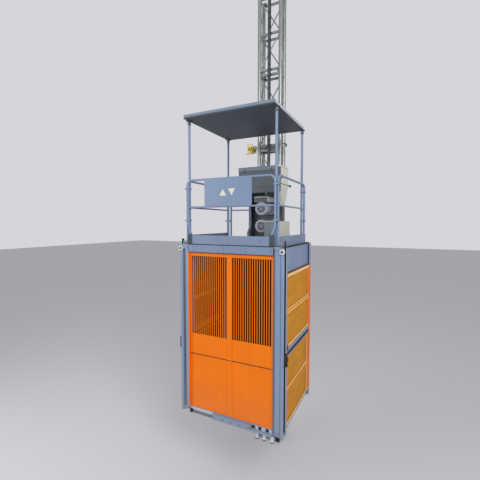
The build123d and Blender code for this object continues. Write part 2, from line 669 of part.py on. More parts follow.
def floor_frame():
    """Side beams, rear beam and joists under the floor plate."""
    low = FLOOR_BASE - FLOOR_BEAM_HEIGHT
    wall = FLOOR_BEAM_WALL
    inner = FLOOR_HALF_WIDTH - FLOOR_BEAM_WIDTH
    sill_end = CAR_FRONT + SILL_SETBACK + SILL_DEPTH
    rear_start = CAR_REAR - FLOOR_BEAM_WIDTH
    pieces = []
    for side in (-1, 1):
        pieces.append(tube_block(side * inner, side * FLOOR_HALF_WIDTH, FRONT_COLUMN_END, REAR_COLUMN_START,
                                 low, FLOOR_BASE, wall, "y"))
        x = side * COLUMN_INNER
        web = x - side * FLOOR_BEAM_WIDTH
        pieces.append(tube_block(web, x, sill_end, rear_start, low, FLOOR_BASE, wall, "y"))
        for y in (FRONT_COLUMN_END, REAR_COLUMN_START - FLOOR_BEAM_WIDTH):
            pieces.append(block(x, side * inner, y, y + FLOOR_BEAM_WIDTH, low, FLOOR_BASE))
    pieces.append(tube_block(-COLUMN_INNER, COLUMN_INNER, rear_start, CAR_REAR, low, FLOOR_BASE, wall, "x"))
    joist_reach = COLUMN_INNER - FLOOR_BEAM_WIDTH
    pitch = (rear_start - sill_end) / (FLOOR_JOISTS + 1)
    for joist in range(1, FLOOR_JOISTS + 1):
        y = sill_end + joist * pitch - FLOOR_BEAM_WIDTH / 2
        pieces.append(tube_block(-joist_reach, joist_reach, y, y + FLOOR_BEAM_WIDTH, low, FLOOR_BASE, wall,
                                 "x"))
    return fused(pieces)


def floor_plate():
    """Floor sheet with a notch at each corner column."""
    front = CAR_FRONT + PANEL_SETBACK + PANEL_RETURN
    rear = CAR_REAR - REAR_WALL_RETURN
    plate = block(-COLUMN_INNER, COLUMN_INNER, front, rear, FLOOR_BASE, PANEL_FOOT)
    wide = block(-FLOOR_HALF_WIDTH, FLOOR_HALF_WIDTH, FRONT_COLUMN_END, REAR_COLUMN_START, FLOOR_BASE,
                 PANEL_FOOT)
    return plate + wide


def front_sill():
    """Hollow beam under the front wall, with a raised bar, a thin strip and three square pockets."""
    y0 = CAR_FRONT + SILL_SETBACK
    y1 = y0 + SILL_DEPTH
    low = FLOOR_BASE - FLOOR_BEAM_HEIGHT
    beam = tube_block(-COLUMN_INNER, COLUMN_INNER, y0, y1, low, PANEL_FOOT - FLOOR_PLATE_THICKNESS, SILL_WALL,
                      "x")
    lip = block(-COLUMN_INNER, COLUMN_INNER, y0, CAR_FRONT + PANEL_SETBACK + PANEL_RETURN, FLOOR_BASE,
                PANEL_FOOT)
    bar_top = PANEL_FOOT - SILL_BAR_DROP
    bar = block(SILL_BAR_LEFT, SILL_BAR_RIGHT, y0 - SILL_BAR_THICKNESS, y0, bar_top - SILL_BAR_HEIGHT,
                bar_top)
    strip = block(SILL_BAR_RIGHT, COLUMN_INNER, y0 - SILL_STRIP_THICKNESS, y0, low, low + SILL_STRIP_HEIGHT)
    sill = fused([beam, lip, bar, strip])
    middle = (low + SILL_STRIP_HEIGHT + FLOOR_BASE) / 2
    for x in SILL_POCKET_X:
        half = SILL_POCKET / 2
        sill -= block(x - half, x + half, y0 - 1, y0 + SILL_WALL + 1, middle - half, middle + half)
    return sill


def buffers():
    """Three short buffers under the right end of the sill."""
    y = CAR_FRONT + SILL_SETBACK + SILL_DEPTH / 2
    top = FLOOR_BASE - FLOOR_BEAM_HEIGHT
    solids = []
    for x in BUFFER_X:
        neck_foot = top - BUFFER_NECK_LENGTH
        neck = Pos(x, y, (top + neck_foot) / 2) * Cylinder(BUFFER_NECK_RADIUS, BUFFER_NECK_LENGTH)
        body = Pos(x, y, neck_foot - BUFFER_LENGTH / 2) * Cylinder(BUFFER_RADIUS, BUFFER_LENGTH)
        rim = body.edges().filter_by(GeomType.CIRCLE).group_by(Axis.Z)[0]
        solids.append(fillet(rim, BUFFER_RADIUS / 4) + neck)
    return solids


def rear_wall():
    """Plain sheet towards the mast, with a turned-in edge."""
    wall = REAR_WALL_THICKNESS
    low, high = FLOOR_BASE, COLUMN_TOP
    start = CAR_REAR - REAR_WALL_RETURN
    sheet = block(-COLUMN_INNER, COLUMN_INNER, start, CAR_REAR, low, high)
    sheet -= block(-COLUMN_INNER + wall, COLUMN_INNER - wall, start - 1, CAR_REAR - wall, low + wall,
                   high - wall)
    return sheet


def door_header(side):
    """Panel above a side door, between the columns."""
    outer = LEAF_INNER - HEADER_LEAF_GAP
    inner = outer - HEADER_THICKNESS
    low = UPPER_LEAF_TOP - HEADER_LAP
    panel = block(side * inner, side * outer, FRONT_COLUMN_END, REAR_COLUMN_START, low, COLUMN_TOP)
    wall = HEADER_SHEET
    return panel - block(side * (inner - 1), side * (outer - wall), FRONT_COLUMN_END + wall,
                         REAR_COLUMN_START - wall, low + wall, COLUMN_TOP - wall)


def roof_deck():
    """Roof sheet on the columns and walls."""
    front = CAR_FRONT + FASCIA_THICKNESS
    return block(-DECK_HALF_WIDTH, DECK_HALF_WIDTH, front, CAR_REAR, COLUMN_TOP, DECK_TOP)


def roof_edge_boards():
    """Front fascia, the front toe board on the guard's legs, and a toe board on the deck along each side."""
    boards = [block(-COLUMN_INNER, COLUMN_INNER, CAR_FRONT, CAR_FRONT + FASCIA_THICKNESS, PANEL_TOP,
                    DECK_TOP)]
    toe_top = DECK_TOP + TOE_HEIGHT
    rear = GUARD_FRONT_Y - GUARD_TUBE_RADIUS
    boards.append(block(-TOE_FRONT_HALF, TOE_FRONT_HALF, rear - TOE_THICKNESS, rear, DECK_TOP + TOE_GAP,
                        toe_top))
    for side in (-1, 1):
        x = side * TOE_SIDE_X
        boards.append(block(x, x + side * TOE_THICKNESS, CAR_FRONT + TOE_END_MARGIN,
                            CAR_REAR - TOE_END_MARGIN,
                            DECK_TOP, toe_top))
    return boards


# Guard rails and canopy
def guard_front():
    """Bent tube with cranked feet and a middle rail."""
    y = GUARD_FRONT_Y
    top = DECK_TOP + GUARD_HEIGHT - GUARD_TUBE_RADIUS
    knee_top = DECK_TOP + GUARD_KNEE_TOP
    knee_bottom = DECK_TOP + GUARD_KNEE_BOTTOM
    foot_x = GUARD_FRONT_HALF - GUARD_FOOT_SHIFT
    half = GUARD_FRONT_HALF
    points = [(-foot_x, y, DECK_TOP), (-foot_x, y, knee_bottom), (-half, y, knee_top), (-half, y, top),
              (half, y, top), (half, y, knee_top), (foot_x, y, knee_bottom), (foot_x, y, DECK_TOP)]
    knee = GUARD_CORNER_RADIUS / 2
    radii = [knee, knee, GUARD_CORNER_RADIUS, GUARD_CORNER_RADIUS, knee, knee]
    loop = bent_tube(points, radii, GUARD_TUBE_RADIUS, GUARD_TUBE_WALL)
    return loop + mid_rail((-half, y), (half, y))


def mid_rail(start, end):
    """Middle rail between two upright tubes."""
    z = DECK_TOP + GUARD_MID_HEIGHT
    a, b = Vector(*start, z), Vector(*end, z)
    inset = (b - a).normalized() * (GUARD_TUBE_RADIUS - GUARD_TUBE_WALL / 2)
    a, b = a + inset, b - inset
    plane = Plane(origin=a, z_dir=(b - a).normalized())
    ring = Circle(MID_RAIL_RADIUS) - Circle(MID_RAIL_RADIUS - GUARD_TUBE_WALL)
    return extrude(plane * ring, (b - a).length)


def guard_side(side):
    """Bent tube along one side of the roof."""
    x = side * GUARD_SIDE_X
    top = DECK_TOP + GUARD_HEIGHT - GUARD_TUBE_RADIUS
    y0 = CAR_FRONT + GUARD_SIDE_START
    y1 = CAR_FRONT + GUARD_SIDE_END
    points = [(x, y0, DECK_TOP), (x, y0, top), (x, y1, top), (x, y1, DECK_TOP)]
    loop = bent_tube(points, [GUARD_CORNER_RADIUS] * 2, GUARD_TUBE_RADIUS, GUARD_TUBE_WALL)
    return loop + mid_rail((x, y0), (x, y1))


def guard_rear():
    """Bent tube at the rear left, with a cranked foot beside the machinery."""
    y = CAR_REAR - GUARD_REAR_SETBACK
    top = DECK_TOP + GUARD_HEIGHT - GUARD_TUBE_RADIUS
    outer = -GUARD_FRONT_HALF + 2 * GUARD_TUBE_RADIUS
    inner = GUARD_REAR_INNER
    foot_x = inner - GUARD_FOOT_SHIFT
    points = [(outer, y, DECK_TOP), (outer, y, top), (inner, y, top), (inner, y, DECK_TOP + GUARD_KNEE_TOP),
              (foot_x, y, DECK_TOP + GUARD_KNEE_BOTTOM), (foot_x, y, DECK_TOP)]
    knee = GUARD_CORNER_RADIUS / 2
    radii = [GUARD_CORNER_RADIUS, GUARD_CORNER_RADIUS, knee, knee]
    loop = bent_tube(points, radii, GUARD_TUBE_RADIUS, GUARD_TUBE_WALL)
    return loop + mid_rail((outer, y), (inner, y))


def sign_panel():
    """Plain panel between the top rail and the middle rail, with turned-back ends."""
    back = GUARD_FRONT_Y - GUARD_TUBE_RADIUS - RUNNING_CLEARANCE
    front = back - SIGN_THICKNESS
    low = DECK_TOP + GUARD_MID_HEIGHT
    high = DECK_TOP + GUARD_HEIGHT - GUARD_TUBE_RADIUS
    left, right = SIGN_OFFSET - SIGN_HALF_WIDTH, SIGN_OFFSET + SIGN_HALF_WIDTH
    panel = block(left, right, front, back, low, high)
    rail_clear = 2 * GUARD_TUBE_RADIUS
    for x0, x1 in ((left, left + SIGN_THICKNESS), (right - SIGN_THICKNESS, right)):
        panel += block(x0, x1, back, back + SIGN_RETURN, low + rail_clear, high - rail_clear)
    return panel


def grip_bar():
    """Thin bar with a hand grip, carried along the right guard rail."""
    x = GUARD_SIDE_X
    z = DECK_TOP + GUARD_HEIGHT - GRIP_BAR_DROP
    y0 = CAR_FRONT + GUARD_SIDE_START + GUARD_TUBE_RADIUS
    y1 = y0 + GRIP_BAR_LENGTH
    return disc_y(x, z, GRIP_BAR_RADIUS, y0, y1) + disc_y(x, z, GRIP_RADIUS, y1, y1 + GRIP_LENGTH)


def canopy_posts():
    """Four round posts from the deck to the canopy."""
    posts = []
    for side in (-1, 1):
        for y in (POST_FRONT_Y, POST_REAR_Y):
            ring = Circle(POST_RADIUS) - Circle(POST_RADIUS - POST_WALL)
            posts.append(extrude(Pos(side * POST_X, CAR_FRONT + y, DECK_TOP) * ring, CANOPY_CLEAR))
    return posts


def canopy():
    """Flat roof: an edge frame closed by a top sheet and an under sheet."""
    front = CAR_FRONT - CANOPY_OVERHANG
    rear = front + CANOPY_LENGTH
    top = CANOPY_FOOT + CANOPY_EDGE
    roof = block(-CANOPY_HALF_WIDTH, CANOPY_HALF_WIDTH, front, rear, CANOPY_FOOT, top)
    edge = CANOPY_FRAME_WIDTH
    inner = CANOPY_HALF_WIDTH - edge
    return roof - block(-inner, inner, front + edge, rear - edge, CANOPY_FOOT + CANOPY_SHEET,
                        top - CANOPY_SHEET)


# Side doors
def leaf_frame(side, low, high, foot_rail, head_rail):
    """Door leaf: stiles, rails and a grooved middle rail, with a tongue in each column's guide groove."""
    x0, x1 = side * LEAF_INNER, side * LEAF_OUTER
    frame = block(x0, x1, LEAF_FRONT, LEAF_REAR, low, high)
    window_front, window_rear = LEAF_FRONT + LEAF_FRONT_STILE, LEAF_REAR - LEAF_REAR_STILE
    for window_low, window_high in leaf_windows(low, high, foot_rail, head_rail):
        frame -= block(side * (LEAF_INNER - 1), side * (LEAF_OUTER + 1), window_front, window_rear,
                       window_low, window_high)
    middle = mid_rail_height(low, high, foot_rail, head_rail)
    frame -= block(side * (LEAF_OUTER - LEAF_GROOVE_DEPTH), side * (LEAF_OUTER + 1), window_front,
                   window_rear,
                   middle - LEAF_GROOVE_HEIGHT / 2, middle + LEAF_GROOVE_HEIGHT / 2)
    tongue_out = COLUMN_OUTER - GUIDE_LIP - LEAF_TONGUE_CLEARANCE
    tongue_in = COLUMN_OUTER - GUIDE_LIP - GUIDE_GROOVE_WIDTH + LEAF_TONGUE_CLEARANCE
    for y0, y1 in ((LEAF_FRONT - LEAF_END_GAP - LEAF_TONGUE, LEAF_FRONT),
                   (LEAF_REAR, LEAF_REAR + LEAF_END_GAP + LEAF_TONGUE)):
        frame += block(side * tongue_in, side * tongue_out, y0, y1, low, high)
    return frame


def mid_rail_height(low, high, foot_rail, head_rail):
    """Height of the middle rail's centre, half way between the foot rail and the head rail."""
    return (low + foot_rail + high - head_rail) / 2


def leaf_windows(low, high, foot_rail, head_rail):
    """Heights of the two meshed openings of a leaf."""
    middle = mid_rail_height(low, high, foot_rail, head_rail)
    return ((low + foot_rail, middle - LEAF_MID_RAIL / 2), (middle + LEAF_MID_RAIL / 2, high - head_rail))


def leaf_mesh(side, low, high, foot_rail, head_rail):
    """Two sheets of square mesh that fill the openings of a leaf."""
    sheets = []
    front, rear = LEAF_FRONT + LEAF_FRONT_STILE, LEAF_REAR - LEAF_REAR_STILE
    length = rear - front
    y = (front + rear) / 2
    for window_low, window_high in leaf_windows(low, high, foot_rail, head_rail):
        height = window_high - window_low
        pitch_y = (length - MESH_BAR) / MESH_COLUMNS
        pitch_z = (height - MESH_BAR) / MESH_ROWS
        holes = GridLocations(pitch_y, pitch_z, MESH_COLUMNS, MESH_ROWS) * Rectangle(pitch_y - MESH_BAR,
                                                                                     pitch_z - MESH_BAR)
        sheet = Rectangle(length, height) - holes
        plane = Plane(origin=(side * LEAF_MIDDLE - MESH_THICKNESS / 2, y, (window_low + window_high) / 2),
                      x_dir=(0, 1, 0), z_dir=(1, 0, 0))
        sheets.append(extrude(plane * sheet, MESH_THICKNESS))
    return sheets


def nosing(side):
    """Rubber edge under the upper leaf."""
    return block(side * (LEAF_INNER + NOSING_INSET), side * (LEAF_OUTER - NOSING_INSET), LEAF_FRONT,
                 LEAF_REAR,
                 UPPER_LEAF_FOOT, UPPER_LEAF_FOOT + NOSING_HEIGHT)


def pulley(side):
    """Grooved rope pulley on the front of a column."""
    z = COLUMN_TOP - PULLEY_DROP
    rear = CAR_FRONT - PULLEY_SIDE_GAP - RUNNING_CLEARANCE
    front = rear - PULLEY_WIDTH
    middle = (front + rear) / 2
    groove = PULLEY_RADIUS - PULLEY_GROOVE
    half = PULLEY_WIDTH / 2
    outline = [(PULLEY_BORE_RADIUS, -half), (PULLEY_RADIUS, -half), (PULLEY_RADIUS, -PULLEY_GROOVE),
               (groove, 0),
               (PULLEY_RADIUS, PULLEY_GROOVE), (PULLEY_RADIUS, half), (PULLEY_BORE_RADIUS, half)]
    wheel = revolve(make_face(Polyline(*outline, close=True)), Axis.Y)
    return Pos(side * PULLEY_X, middle, z) * wheel


def door_lock(side):
    """Lock case on the outside of a front column, with the pivot of its lever."""
    y0 = CAR_FRONT + LOCK_START
    case = block(side * COLUMN_OUTER, side * (COLUMN_OUTER + LOCK_DEPTH), y0, y0 + LOCK_WIDTH,
                 LOCK_TOP - LOCK_HEIGHT, LOCK_TOP)
    case = fillet(case.edges().filter_by(Axis.X), LOCK_DEPTH / 4)
    y, z = lever_pivot()
    outer = COLUMN_OUTER + LOCK_DEPTH
    return case + disc_x(y, z, LOCK_PIVOT_RADIUS, side * outer, side * (outer + LEVER_GAP + LEVER_THICKNESS))


def lever_pivot():
    """Pivot of a lock lever, in Y and Z."""
    return CAR_FRONT + LOCK_START + LOCK_WIDTH / 2, LOCK_TOP - LOCK_PIVOT_DROP


def lock_lever(side):
    """Hand lever with a knob, which hangs from its pivot."""
    y, z = lever_pivot()
    inner = COLUMN_OUTER + LOCK_DEPTH + LEVER_GAP
    outer = inner + LEVER_THICKNESS
    arm = block(side * inner, side * outer, y - LEVER_WIDTH / 2, y + LEVER_WIDTH / 2, z - LEVER_LENGTH, z)
    lever = arm + disc_x(y, z, LEVER_HUB_RADIUS, side * inner, side * outer)
    lever += disc_x(y, z - LEVER_LENGTH, LEVER_KNOB_RADIUS, side * inner, side * (outer + LEVER_KNOB_RADIUS))
    return lever - disc_x(y, z, LOCK_PIVOT_RADIUS + RUNNING_CLEARANCE, side * (inner - 1), side * (outer + 1))


# Mast side frame and drive
def mast_side_frame():
    """Uprights behind the car, joined by cross members and the lower guide plate with its roller axles."""
    pieces = []
    for side in (-1, 1):
        x = side * UPRIGHT_X
        half = UPRIGHT_WIDTH / 2
        pieces.append(tube_block(x - half, x + half, CAR_REAR, PLATE_FRONT, UPRIGHT_FOOT, UPRIGHT_TOP,
                                 UPRIGHT_WALL, "z"))
    reach = UPRIGHT_X - UPRIGHT_WIDTH / 2
    for low in (UPRIGHT_FOOT, (UPRIGHT_FOOT + DECK_TOP) / 2, COLUMN_TOP - CROSS_MEMBER_HEIGHT):
        pieces.append(block(-reach, reach, CAR_REAR, CAR_REAR + UPRIGHT_WALL, low, low + CROSS_MEMBER_HEIGHT))
    pieces.append(block(-PLATE_HALF_WIDTH, PLATE_HALF_WIDTH, PLATE_FRONT, PLATE_REAR, UPRIGHT_FOOT,
                        UPRIGHT_FOOT + GUIDE_PLATE_HEIGHT))
    pieces += roller_axles(LOWER_ROLLER_Z)
    return fused(pieces)


def roller_axles(z):
    """Two axles behind a guide plate, each with a spacer and an end collar."""
    axles = []
    roller_front = -HALF_DEPTH - ROLLER_WIDTH / 2 - ROLLER_GAP
    roller_rear = -HALF_DEPTH + ROLLER_WIDTH / 2 + ROLLER_GAP
    for side in (-1, 1):
        x = side * ROLLER_X
        axle = disc_y(x, z, ROLLER_AXLE_RADIUS, PLATE_REAR, roller_rear + ROLLER_COLLAR_END)
        axle += disc_y(x, z, ROLLER_COLLAR_RADIUS, PLATE_REAR, roller_front)
        axle += disc_y(x, z, ROLLER_COLLAR_RADIUS, roller_rear, roller_rear + ROLLER_COLLAR_END)
        axles.append(axle)
    return axles


def guide_roller(side, z):
    """Roller with a round groove that runs on the outside of a front mast tube."""
    half = ROLLER_WIDTH / 2
    groove = MAST_TUBE_RADIUS + ROLLER_GAP
    rim = ROLLER_THROAT + groove - math.sqrt(groove ** 2 - half ** 2)
    bore = ROLLER_AXLE_RADIUS + RUNNING_CLEARANCE
    outline = [Line((bore, -half), (rim, -half)),
               ThreePointArc((rim, -half), (ROLLER_THROAT, 0), (rim, half)),
               Line((rim, half), (bore, half)), Line((bore, half), (bore, -half))]
    wheel = revolve(make_face(outline), Axis.Y)
    return Pos(side * ROLLER_X, -HALF_DEPTH, z) * wheel


def machine_plate():
    """Plate behind the uprights that carries the drives, with the upper roller axles and the hood arms."""
    plate = block(-PLATE_HALF_WIDTH, PLATE_HALF_WIDTH, PLATE_FRONT, PLATE_REAR, DECK_TOP + PLATE_MARGIN,
                  UPRIGHT_TOP)
    for z in DRIVE_Z:
        plate -= disc_y(PINION_X, z, PLATE_HOLE_RADIUS, PLATE_FRONT - 1, PLATE_REAR + 1)
    pieces = [plate] + roller_axles(UPPER_ROLLER_Z)
    for side in (-1, 1):
        x = side * HOOD_ARM_X
        half = HOOD_ARM / 2
        pieces.append(block(x - half, x + half, CAR_FRONT + HOOD_FRONT, PLATE_FRONT, HOOD_FOOT - HOOD_ARM,
                            HOOD_FOOT))
    return fused(pieces)


def pinion(z):
    """Involute pinion and its shaft, turned to mesh with the rack at this height."""
    phase = ((z - BASE_HEIGHT) / RACK_PITCH) % 1.0
    turn = math.pi - (0.5 - phase) * RACK_PITCH / PINION_RADIUS + math.pi / PINION_TEETH
    base = PINION_RADIUS * math.cos(PRESSURE_ANGLE)
    root = PINION_RADIUS - DEDENDUM_FACTOR * RACK_MODULE
    tip = PINION_RADIUS + RACK_MODULE
    half_pitch = (RACK_PITCH / 2 - PINION_BACKLASH) / 2 / PINION_RADIUS
    pitch_involute = math.tan(PRESSURE_ANGLE) - PRESSURE_ANGLE
    radii = [base + (tip - base) * step / 5 for step in range(6)]
    flank = [(root, half_pitch + pitch_involute)]
    for radius in radii:
        angle = math.acos(min(1.0, base / radius))
        flank.append((radius, half_pitch + pitch_involute - (math.tan(angle) - angle)))
    points = []
    for tooth in range(PINION_TEETH):
        middle = turn + tooth * 2 * math.pi / PINION_TEETH
        for radius, half in flank:
            points.append((PINION_X + radius * math.cos(middle - half), z + radius * math.sin(middle - half)))
        for radius, half in reversed(flank):
            points.append((PINION_X + radius * math.cos(middle + half), z + radius * math.sin(middle + half)))
    front = RACK_FRONT + (RACK_FACE - PINION_FACE) / 2
    gear = prism_y(points, front, front + PINION_FACE)
    return gear + disc_y(PINION_X, z, PINION_SHAFT_RADIUS, PLATE_FRONT - PINION_SHAFT_SEAT, front)


def shaft_seat(z):
    """Blind bore for a pinion shaft in the front of the machine plate's housings."""
    seat = PINION_SHAFT_RADIUS + RUNNING_CLEARANCE
    return disc_y(PINION_X, z, seat, PLATE_FRONT - PINION_SHAFT_SEAT - ROLLER_GAP, PLATE_FRONT + 1)


def gearbox(z):
    """Gear case on the front of the machine plate."""
    case = block(PINION_X - GEARBOX_WIDTH / 2, PINION_X + GEARBOX_WIDTH / 2, PLATE_FRONT - GEARBOX_DEPTH,
                 PLATE_FRONT,
                 z - GEARBOX_HEIGHT / 2, z + GEARBOX_HEIGHT / 2)
    case = fillet(case.edges().filter_by(Axis.Y), GEARBOX_FILLET)
    return case - shaft_seat(z)


def top_box(z):
    """Wide terminal box above a motor, on a neck."""
    rear = PLATE_FRONT - GEARBOX_DEPTH
    middle = rear - MOTOR_LENGTH / 2
    foot = z + COWL_RADIUS + TOP_BOX_GAP
    front = rear - MOTOR_LENGTH - COWL_LENGTH - TOP_BOX_OVERHANG
    neck = block(PINION_X - NECK_WIDTH / 2, PINION_X + NECK_WIDTH / 2, middle - NECK_LENGTH / 2,
                 middle + NECK_LENGTH / 2, z + MOTOR_RADIUS / 2, foot)
    box = block(PINION_X - TOP_BOX_WIDTH / 2, PINION_X + TOP_BOX_WIDTH / 2, front, front + TOP_BOX_LENGTH,
                foot, foot + TOP_BOX_HEIGHT)
    return [neck, box]


def side_box(z):
    """Tall terminal box on the right side of a motor, behind its fan cowl."""
    front = PLATE_FRONT - GEARBOX_DEPTH - MOTOR_LENGTH + COWL_LAP + SIDE_BOX_GAP
    return [block(PINION_X + MOTOR_RADIUS / 2, PINION_X + SIDE_BOX_REACH, front, front + SIDE_BOX_LENGTH,
                  z - SIDE_BOX_HEIGHT / 2, z + SIDE_BOX_HEIGHT / 2)]


def motor(z, boxes):
    """Finned motor in front of its gear case, with its terminal box."""
    rear = PLATE_FRONT - GEARBOX_DEPTH
    front = rear - MOTOR_LENGTH
    body = disc_y(PINION_X, z, MOTOR_RADIUS - MOTOR_FIN, front, rear)
    fins = []
    for fin in range(MOTOR_FIN_COUNT):
        angle = 360 * fin / MOTOR_FIN_COUNT
        half = MOTOR_FIN_THICKNESS / 2
        bar = block(-half, half, front + MOTOR_END, rear - MOTOR_END, 0, MOTOR_RADIUS)
        fins.append(Pos(PINION_X, 0, z) * Rot(0, angle, 0) * bar)
    fins.append(disc_y(PINION_X, z, COWL_RADIUS - COWL_WALL, front, front + MOTOR_END))
    fins.append(disc_y(PINION_X, z, MOTOR_RADIUS, rear - MOTOR_END, rear))
    return fused([body, *fins, *boxes])


def fan_cowl(z):
    """Round fan cowl with a grille in its front opening."""
    front = PLATE_FRONT - GEARBOX_DEPTH - MOTOR_LENGTH - COWL_LENGTH
    rear = front + COWL_LENGTH + COWL_LAP
    cup = disc_y(PINION_X, z, COWL_RADIUS, front, rear)
    cup = fillet(cup.edges().filter_by(GeomType.CIRCLE).group_by(Axis.Y)[0], COWL_EDGE)
    cup -= disc_y(PINION_X, z, COWL_RADIUS - COWL_WALL, front + COWL_EDGE, rear + 1)
    cup -= disc_y(PINION_X, z, COWL_OPENING_RADIUS, front - 1, front + COWL_EDGE + 1)
    grille_rear = front + COWL_EDGE
    grille_front = grille_rear - COWL_WALL
    pieces = [cup, disc_y(PINION_X, z, COWL_HUB_RADIUS, grille_front, grille_rear)]
    gap = (COWL_OPENING_RADIUS - COWL_HUB_RADIUS) / (COWL_RING_COUNT + 1)
    for ring in range(1, COWL_RING_COUNT + 1):
        radius = COWL_HUB_RADIUS + ring * gap
        outer = disc_y(PINION_X, z, radius + COWL_RING_WIDTH / 2, grille_front, grille_rear)
        pieces.append(outer - disc_y(PINION_X, z, radius - COWL_RING_WIDTH / 2, grille_front - 1,
                                     grille_rear + 1))
    for spoke in range(COWL_SPOKES):
        half = COWL_RING_WIDTH / 2
        bar = block(-half, half, grille_front, grille_rear, COWL_HUB_RADIUS / 2,
                    COWL_OPENING_RADIUS + COWL_WALL)
        pieces.append(Pos(PINION_X, 0, z) * Rot(0, 360 * spoke / COWL_SPOKES, 0) * bar)
    return fused(pieces)


def safety_device():
    """Overspeed brake drum on the front of the machine plate."""
    z = DRIVE_Z[2]
    front = PLATE_FRONT - SAFETY_LENGTH
    drum = disc_y(PINION_X, z, SAFETY_RADIUS, front, PLATE_FRONT)
    rim = drum.edges().filter_by(GeomType.CIRCLE).group_by(Axis.Y)[0]
    return chamfer(rim, SAFETY_RADIUS / 6) - shaft_seat(z)


def machine_hood():
    """Sheet hood over the drive controls, carried on two arms."""
    front = CAR_FRONT + HOOD_FRONT
    rear = front + HOOD_DEPTH
    top = HOOD_FOOT + HOOD_HEIGHT
    hood = block(HOOD_LEFT, HOOD_RIGHT, front, rear, HOOD_FOOT, top)
    wall = HOOD_WALL
    return hood - block(HOOD_LEFT + wall, HOOD_RIGHT - wall, front + wall, rear - wall, HOOD_FOOT + wall,
                        top - wall)


def control_cabinet():
    """Narrow cabinet along the right side of the hood, hung below it and drawn in to its foot."""
    front = CAR_FRONT + HOOD_FRONT
    rear = front + HOOD_DEPTH
    top = HOOD_FOOT + HOOD_HEIGHT
    foot = HOOD_FOOT - CABINET_DROP
    outline = [(front, top), (rear, top), (rear, HOOD_FOOT + CABINET_REAR_KNEE),
               (rear - CABINET_REAR_TAPER, foot),
               (front + CABINET_FRONT_TAPER, foot), (front, HOOD_FOOT)]
    face = make_face(Polyline(*outline, close=True))
    inside = offset(face, -CABINET_WALL, kind=Kind.INTERSECTION)
    wall = CABINET_WALL
    shell = extrude(side_plane(HOOD_RIGHT) * face, CABINET_WIDTH)
    return shell - extrude(side_plane(HOOD_RIGHT + wall) * inside, CABINET_WIDTH - 2 * wall)


def side_plane(x):
    """Plane square to X, with its own X along Y and its own Y up."""
    return Plane(origin=(x, 0, 0), x_dir=(0, 1, 0), z_dir=(1, 0, 0))


def junction_box():
    """Box on the deck, open at the front, with two hinge pins for its door."""
    left, right = JUNCTION_LEFT, JUNCTION_LEFT + JUNCTION_WIDTH
    front = CAR_FRONT + JUNCTION_FRONT + JUNCTION_DOOR_THICKNESS
    rear = front + JUNCTION_DEPTH - JUNCTION_DOOR_THICKNESS
    top = DECK_TOP + JUNCTION_HEIGHT
    wall = JUNCTION_WALL
    box = block(left, right, front, rear, DECK_TOP, top)
    box -= block(left + wall, right - wall, front - 1, rear - wall, DECK_TOP + wall, top - wall)
    x, y = junction_hinge()
    reach = JUNCTION_DOOR_MARGIN
    radius = JUNCTION_HINGE_RADIUS
    for low, high in ((DECK_TOP, DECK_TOP + reach), (top - reach, top)):
        ear = block(x - radius, x + radius, y - radius, front, low, high)
        box += ear
    box += Pos(x, y, (DECK_TOP + top) / 2) * Cylinder(radius / 2, top - DECK_TOP)
    return box


def junction_hinge():
    """Hinge axis of the junction box door, in X and Y."""
    front = CAR_FRONT + JUNCTION_FRONT
    return JUNCTION_LEFT + JUNCTION_HINGE_RADIUS, front + JUNCTION_DOOR_THICKNESS / 2


def junction_door():
    """Door of the junction box, round its hinge pin."""
    x, y = junction_hinge()
    front = CAR_FRONT + JUNCTION_FRONT
    low = DECK_TOP + JUNCTION_DOOR_MARGIN + JUNCTION_HINGE_GAP
    high = DECK_TOP + JUNCTION_HEIGHT - JUNCTION_DOOR_MARGIN - JUNCTION_HINGE_GAP
    half = JUNCTION_DOOR_THICKNESS / 2 - JUNCTION_HINGE_GAP
    middle = (low + high) / 2
    door = block(x, JUNCTION_LEFT + JUNCTION_WIDTH, y - half, y + half, low, high)
    door += Pos(x, y, middle) * Cylinder(half, high - low)
    return door - Pos(x, y, middle) * Cylinder(JUNCTION_HINGE_RADIUS / 2 + RUNNING_CLEARANCE, high - low + 2)


